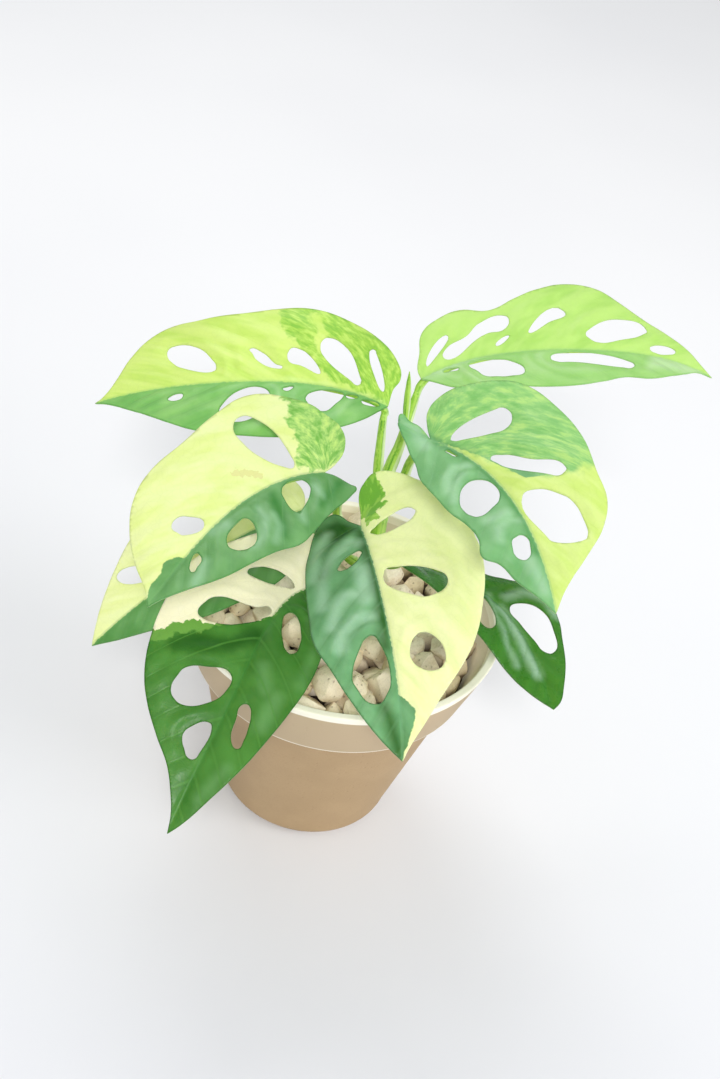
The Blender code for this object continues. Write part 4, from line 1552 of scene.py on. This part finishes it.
@dataclass(frozen=True)
class PotFinish:
    """Matte beige with fine specks, with painted light: a paler band, a pale lip, a paler inner wall, and a
    painted highlight along the band's foot.

    The pairs are heights that a colour changes between.
    """

    body: str = "B79B75"
    shade: str = "A98E69"
    band: str = "C3B092"
    speck: str = "A98D69"
    lip: str = "FFFAE8"
    band_foot: tuple[float, float] = (71.2, 71.8)
    highlight_foot: tuple[float, float] = (71.2, 71.6)
    highlight_top: tuple[float, float] = (72.8, 72.0)
    lip_foot: tuple[float, float] = (92.7, 93.2)
    inner_foot: tuple[float, float] = (74.0, 75.0)
    step: float = 71.6
    flare: float = 0.287
    inner_radii: tuple[float, float] = (51.8, 51.2)

    def material(self, effects: SharedEffects) -> Material:
        """Build the material.

        Args:
            effects: the shared node groups.

        Returns:
            The material.
        """
        material, graph, shader = new_material("pot_beige", Roughness=0.62, IOR=1.45)
        place = graph.object_place()
        grain = graph.group(effects.grain, {"Place": place, "Speck Size": 0.5, "Pit Size": 2.2})
        height = graph.split(place)[2]
        # painted highlight: a pale line along the lower edge of the band
        line = graph.times(graph.between(height, *self.highlight_top), graph.between(height, *self.highlight_foot))
        # painted light: the inner wall above the soil is made paler than the outside
        flat = graph.scaled(place, (1, 1, 0))
        across = graph.node("VectorMath", {0: flat}, operation="LENGTH").outputs["Value"]
        straight = graph.minus(across, graph.times(graph.minus(height, self.step), self.flare))
        inner = graph.between(straight, *self.inner_radii)
        inside = graph.times(inner, graph.between(height, *self.inner_foot))
        base = graph.coated(
            colour(self.body),
            (self.shade, graph.between(grain["Shift"], 0.35, 0.65, 0.0, 0.35), 1),
            (self.speck, grain["Specks"], 0.22),
            (self.speck, grain["Pits"], 0.25),
            # painted light: the band paler than the body, the top of the rim near white, the inner wall
            # paler
            (self.band, graph.between(height, *self.band_foot, 0.0, 0.75), 1),
            (self.lip, line, 1),
            (self.lip, graph.between(height, *self.lip_foot, 0.0, 0.95), 1),
            (self.lip, inside, 0.6),
        )
        graph.finish(shader, base, grain["Height"], 0.15, 0.35)
        return material


@dataclass
class Pot:
    """The pot: a tapered body under a tapered rim band, with a rounded foot."""

    finish: PotFinish = PotFinish()
    height: float = 96.0
    rim: float = 60.0
    band: float = 24.4
    band_foot: float = 53.0
    body_top: float = 49.8
    body_foot: float = 34.0
    foot_rounding: float = 6.0
    recess: float = 0.8
    wall: float = 3.0
    lip: float = 0.7
    floor: float = 4.0
    drains: int = 4
    drain_circle: float = 18.0
    drain_radius: float = 3.5

    def inner_radius(self, height: float) -> float:
        """Find how wide the pot is inside at a height.

        Args:
            height: the height.

        Returns:
            The radius.
        """
        step = self.height - self.band
        heights = (self.floor, step, step + self.wall, self.height)
        widths = (self.body_foot, self.body_top, self.band_foot, self.rim)
        return float(np.interp(height, heights, [width - self.wall for width in widths]))

    def profile(self) -> Points:
        """Lay out the turned outline, from the middle of the floor over the lip to the foot.

        Returns:
            (radius, height) points.
        """
        step, lip, inner = self.height - self.band, self.lip, self.body_foot - self.wall
        flat = self.body_foot - self.foot_rounding
        return (
            (0, self.floor), (inner - 2, self.floor), *arc((inner - 1.4, self.floor + 2), 2, -90, 0, 4),
            (self.body_top - self.wall, step), (self.band_foot - self.wall, step + self.wall),
            *arc((self.rim - self.wall + lip, self.height - lip), lip, 180, 90, 6),
            *arc((self.rim - lip, self.height - lip), lip, 90, 0, 6),
            *arc((self.band_foot - 0.55, step + 0.9), 0.9, 0, -90, 4),
            (self.body_top + 0.5, step), (self.body_top - 0.1, step - 0.5),
            *arc((flat, self.foot_rounding), self.foot_rounding, 0, -90, 8),
            (flat - 3, 0.0), (flat - 4, self.recess), (0, self.recess),
        )

    def build(self, effects: SharedEffects) -> None:
        """Build and dress the pot.

        Args:
            effects: the shared node groups.
        """
        item = drawn_line("beige_pot", self.profile())
        steps = 180
        with editing(item):
            bpy.ops.mesh.spin(steps=steps, angle=math.tau, center=(0, 0, 0), axis=(0, 0, 1))
        tidy_mesh(item, 0.02)
        for number in range(self.drains):
            turn = math.tau * (number + 0.5) / self.drains
            x, y = self.drain_circle * math.cos(turn), self.drain_circle * math.sin(turn)
            drill = added(
                bpy.ops.mesh.primitive_cylinder_add, "drill", location=(x * MM, y * MM, 2 * MM),
                vertices=32, radius=self.drain_radius * MM, depth=12 * MM,
            )
            cut_with(item, "DIFFERENCE", drill)
        smooth(item, 35)
        finish_piece(item, "pot", self.finish.material(effects))


@dataclass(frozen=True)
class PumiceFinish:
    """Dry beige stone, each with its own tint, with pits and cracks, and painted shade: darker low in the
    bed.
    """

    light: str = "FFF5E0"
    dark: str = "EBD8B4"
    stain: str = "CDB58A"
    pit: str = "7A6142"
    # heights over which the painted shade of the low stones fades out
    gap_shade: tuple[float, float] = (80.5, 86.0)

    def material(self, effects: SharedEffects) -> Material:
        """Build the material.

        Args:
            effects: the shared node groups.

        Returns:
            The material.
        """
        material, graph, shader = new_material("pumice_beige", Roughness=0.85, IOR=1.4)
        place = graph.object_place()
        grain = graph.group(effects.grain, {"Place": place, "Speck Size": 0.5, "Pit Size": 1.7})
        base = graph.coated(
            graph.mixed(graph.attribute("tint"), colour(self.dark), colour(self.light)),
            (self.stain, graph.between(graph.noise(place, 0.22, 4.0, 0.6), 0.45, 0.7, 0.0, 0.35), 1),
            (self.pit, grain["Pits"], 0.35),
            (self.pit, grain["Specks"], 0.1),
            # painted shade: stones darken towards the bottom of the bed, as the shade in the gaps between
            # them
            (self.pit, graph.between(graph.split(place)[2], *self.gap_shade, 0.85, 0.0), 1),
        )
        graph.finish(shader, base, grain["Height"], 0.45, 0.8)
        return material


@dataclass
class PumiceBed:
    """The bed of loose stones: eight shapes, copied and settled on each other in the pot."""

    finish: PumiceFinish = PumiceFinish()
    count: int = 140
    bottom: float = 77.2
    small: float = 4.4
    large: float = 7.4
    shapes: int = 8
    stem: tuple[float, float] = (8.0, 20.0)
    stem_clear: float = 4.0
    seed: int = 9
    spread: float = 47.0
    drop: tuple[float, float] = (79.0, 96.0)
    rounds: int = 260
    fall: float = 0.2
    closeness: float = 0.86
    give: float = 0.3
    sink: float = 0.8
    wall_share: float = 0.92
    stretch: float = 1.3
    cuts: int = 9
    roughness: float = 0.07

    def places(self, pot: Pot, draw: np.random.Generator) -> tuple[np.ndarray, np.ndarray]:
        """Let round grains settle in the pot.

        Args:
            pot: the pot that holds them.
            draw: the source of chance.

        Returns:
            Their places and radii.
        """
        radii = draw.uniform(self.small, self.large, self.count)
        turn = draw.uniform(0, math.tau, self.count)
        reach = self.spread * np.sqrt(draw.uniform(0, 1, self.count))
        fallen = draw.uniform(*self.drop, self.count)
        spots = np.stack([reach * np.cos(turn), reach * np.sin(turn), fallen], 1)
        touching = (radii[:, None] + radii[None]) * self.closeness
        itself = np.eye(self.count)
        for _ in range(self.rounds):
            spots[:, 2] -= self.fall
            apart = spots[:, None] - spots[None]
            distance = np.linalg.norm(apart, axis=2) + itself
            overlap = np.maximum(touching - distance, 0) * (1 - itself)
            spots += (apart / distance[..., None] * overlap[..., None]).sum(axis=1) * self.give
            spots[:, 2] = np.maximum(spots[:, 2], self.bottom + radii * self.sink)
            wide = np.array([pot.inner_radius(z) for z in spots[:, 2]]) - radii * self.wall_share
            reach = np.hypot(spots[:, 0], spots[:, 1])
            spots[:, :2] *= np.minimum(1, wide / np.maximum(reach, 0.1))[:, None]
            aside = spots[:, :2] - self.stem
            near = np.hypot(*aside.T)
            push = np.maximum(self.stem_clear + radii * self.sink - near, 0) / np.maximum(near, 0.1)
            spots[:, :2] += aside * push[:, None]
        return spots, radii

    def shape(self, number: int, draw: np.random.Generator) -> Object:
        """Model one stone about as wide as 2 mm, to be copied at other sizes.

        Args:
            number: the stone's number.
            draw: the source of chance.

        Returns:
            The stone.
        """
        item = added(
            bpy.ops.mesh.primitive_ico_sphere_add, f"stone_{number}", subdivisions=2, radius=1.12 * MM,
        )
        with editing(item):
            breadth, height = draw.uniform(0.85, 1.0), draw.uniform(0.74, 0.92)
            bpy.ops.transform.resize(value=(self.stretch, breadth, height))
            for _ in range(self.cuts):
                side = draw.normal(size=3)
                side /= np.linalg.norm(side)
                place = tuple(side * draw.uniform(0.55, 0.8) * MM)
                bpy.ops.mesh.select_all(action="SELECT")
                bpy.ops.mesh.bisect(plane_co=place, plane_no=tuple(side), use_fill=True, clear_outer=True)
        tidy_mesh(item, 0.12)
        apply_modifier(
            item, "BEVEL", width=0.08 * MM, segments=1, limit_method="ANGLE", angle_limit=math.radians(18),
        )
        places = read_points(item.data)
        bumps = np.sin(places @ draw.normal(size=(3, 5)) * 3.5 + draw.uniform(0, 6, 5)).mean(axis=1)
        write_points(item.data, places * (1 + self.roughness * bumps)[:, None])
        with editing(item):
            bpy.ops.mesh.quads_convert_to_tris(quad_method="BEAUTY", ngon_method="BEAUTY")
            bpy.ops.mesh.dissolve_degenerate(threshold=0.03 * MM)
        tidy_mesh(item, 0.03)
        return item

    def build(self, pot: Pot, effects: SharedEffects) -> None:
        """Build and dress the bed.

        Args:
            pot: the pot that holds it.
            effects: the shared node groups.
        """
        draw = np.random.default_rng(self.seed)
        shapes = [self.shape(number, draw) for number in range(self.shapes)]
        copies = []
        for number, (spot, radius) in enumerate(zip(*self.places(pot, draw))):
            copy = shapes[number % self.shapes].copy()
            copy.data = copy.data.copy()
            bpy.context.scene.collection.objects.link(copy)
            turn = Quaternion(draw.normal(size=4)).normalized().to_matrix()
            write_points(copy.data, read_points(copy.data) * radius @ np.array(turn).T + spot)
            add_attribute(copy.data, "tint", np.full(len(copy.data.vertices), draw.uniform(0, 1)))
            copies.append(copy)
        for shape in shapes:
            bpy.data.objects.remove(shape)
        select_only(*copies)
        bpy.ops.object.join()
        item = bpy.context.object
        item.name = "loose_pumice"
        smooth(item, 38)
        finish_piece(item, "pumice_stones", self.finish.material(effects))


@dataclass(frozen=True)
class SoilFinish:
    """Dark, crumbly potting mix with paler bits of bark."""

    dark: str = "2E2118"
    light: str = "5D452F"

    def material(self) -> Material:
        """Build the material.

        Returns:
            The material.
        """
        material, graph, shader = new_material("soil_crumb", Roughness=0.95)
        place = graph.object_place()
        crumbs = graph.node("TexVoronoi", {"Vector": place, "Scale": 0.6})
        base = graph.mixed(graph.chance(crumbs, 0), colour(self.dark), colour(self.light))
        base = graph.coated(base, (self.dark, graph.noise(place, 0.9, 4.0), 1))
        relief = graph.plus(crumbs.outputs["Distance"], graph.noise(place, 2.5, 4.0))
        graph.finish(shader, base, relief, 0.8, 1.0)
        return material


# Studio


@dataclass
class Studio:
    """A pale floor, painted darker towards the camera as painted shade, soft light from all round and
    above, and the camera.

    Each lamp has its place in metres, its size and its power.
    """

    camera_place: Place = (0.96, -415.9, 462.7)
    camera_right: Place = (0.974, 0.1426, 0.1761)
    camera_up: Place = (-0.2267, 0.6129, 0.7569)
    lens: float = 50.046
    sensor: float = 36.0
    sky: float = 0.43
    sky_colour: Place = (0.96, 0.98, 1.0)
    lamps: tuple[tuple[Place, float, float], ...] = (
        ((-0.4, 0.8, 1.5), 0.8, 8.0), ((0.05, -1.3, 1.3), 0.3, 17.0), ((1.3, -0.3, 0.7), 0.7, 8.0),
    )
    lamp_aim: Place = (0, 0, 0.12)
    # near and far floor colours: the difference between them is painted shade
    floor_near: str = "E1E2E6"
    floor_far: str = "FCFCFD"
    floor_tone: str = "DCDDE2"

    def build_floor(self) -> None:
        """Build the floor."""
        floor = added(bpy.ops.mesh.primitive_plane_add, "floor", size=12, location=(0, 0, -0.2 * MM))
        apply_place(floor)
        material, graph, shader = new_material("floor_pale", Roughness=0.8)
        place = graph.node("TexCoord").outputs["Object"]
        # painted shade: the floor darkens from far to near
        depth = graph.between(graph.split(place)[1], -0.3, 0.5)
        base = graph.mixed(depth, colour(self.floor_near), colour(self.floor_far))
        tone = graph.between(graph.noise(place, 3.0), 0.35, 0.65)
        graph.feed(shader.inputs["Base Color"], graph.coated(base, (self.floor_tone, tone, 0.1)))
        floor.data.materials.append(material)

    def build_light(self) -> None:
        """Build the sky and the lamps."""
        world = bpy.data.worlds.new("white room")
        world.use_nodes = True
        bpy.context.scene.world = world
        sky = world.node_tree.nodes["Background"]
        sky.inputs["Color"].default_value = (*self.sky_colour, 1.0)
        sky.inputs["Strength"].default_value = self.sky
        for place, size, power in self.lamps:
            bpy.ops.object.light_add(type="AREA", location=place)
            lamp = bpy.context.object
            lamp.data.size = size
            lamp.data.energy = power
            aim = Vector(self.lamp_aim) - Vector(place)
            lamp.rotation_euler = aim.to_track_quat("-Z", "Y").to_euler()

    def build_camera(self) -> None:
        """Build the camera."""
        bpy.ops.object.camera_add()
        camera = bpy.context.object
        right, up = Vector(self.camera_right).normalized(), Vector(self.camera_up)
        up = (up - right * up.dot(right)).normalized()
        turn = Matrix((right, up, right.cross(up))).transposed()
        camera.matrix_world = Matrix.Translation(Vector(self.camera_place) * MM) @ turn.to_4x4()
        camera.data.lens = self.lens
        camera.data.sensor_width = self.sensor
        camera.data.sensor_fit = "AUTO"
        camera.data.clip_start = 0.01
        bpy.context.scene.camera = camera

    def build(self) -> None:
        """Build the whole studio."""
        self.build_camera()
        self.build_floor()
        self.build_light()
        bpy.context.scene.view_settings.view_transform = "Standard"


def main() -> None:
    """Build the plant, its pot and the studio, in order."""
    logging.basicConfig(level=logging.INFO, format="%(message)s")
    Studio().build()
    effects = SharedEffects()
    pot = Pot()
    pot.build(effects)
    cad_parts["potting_mix"].material_slots[0].material = SoilFinish().material()
    PumiceBed().build(pot, effects)
    Stalks().build()
    for leaf in LEAVES:
        leaf.build(effects)


if __name__ == "__main__":
    main()
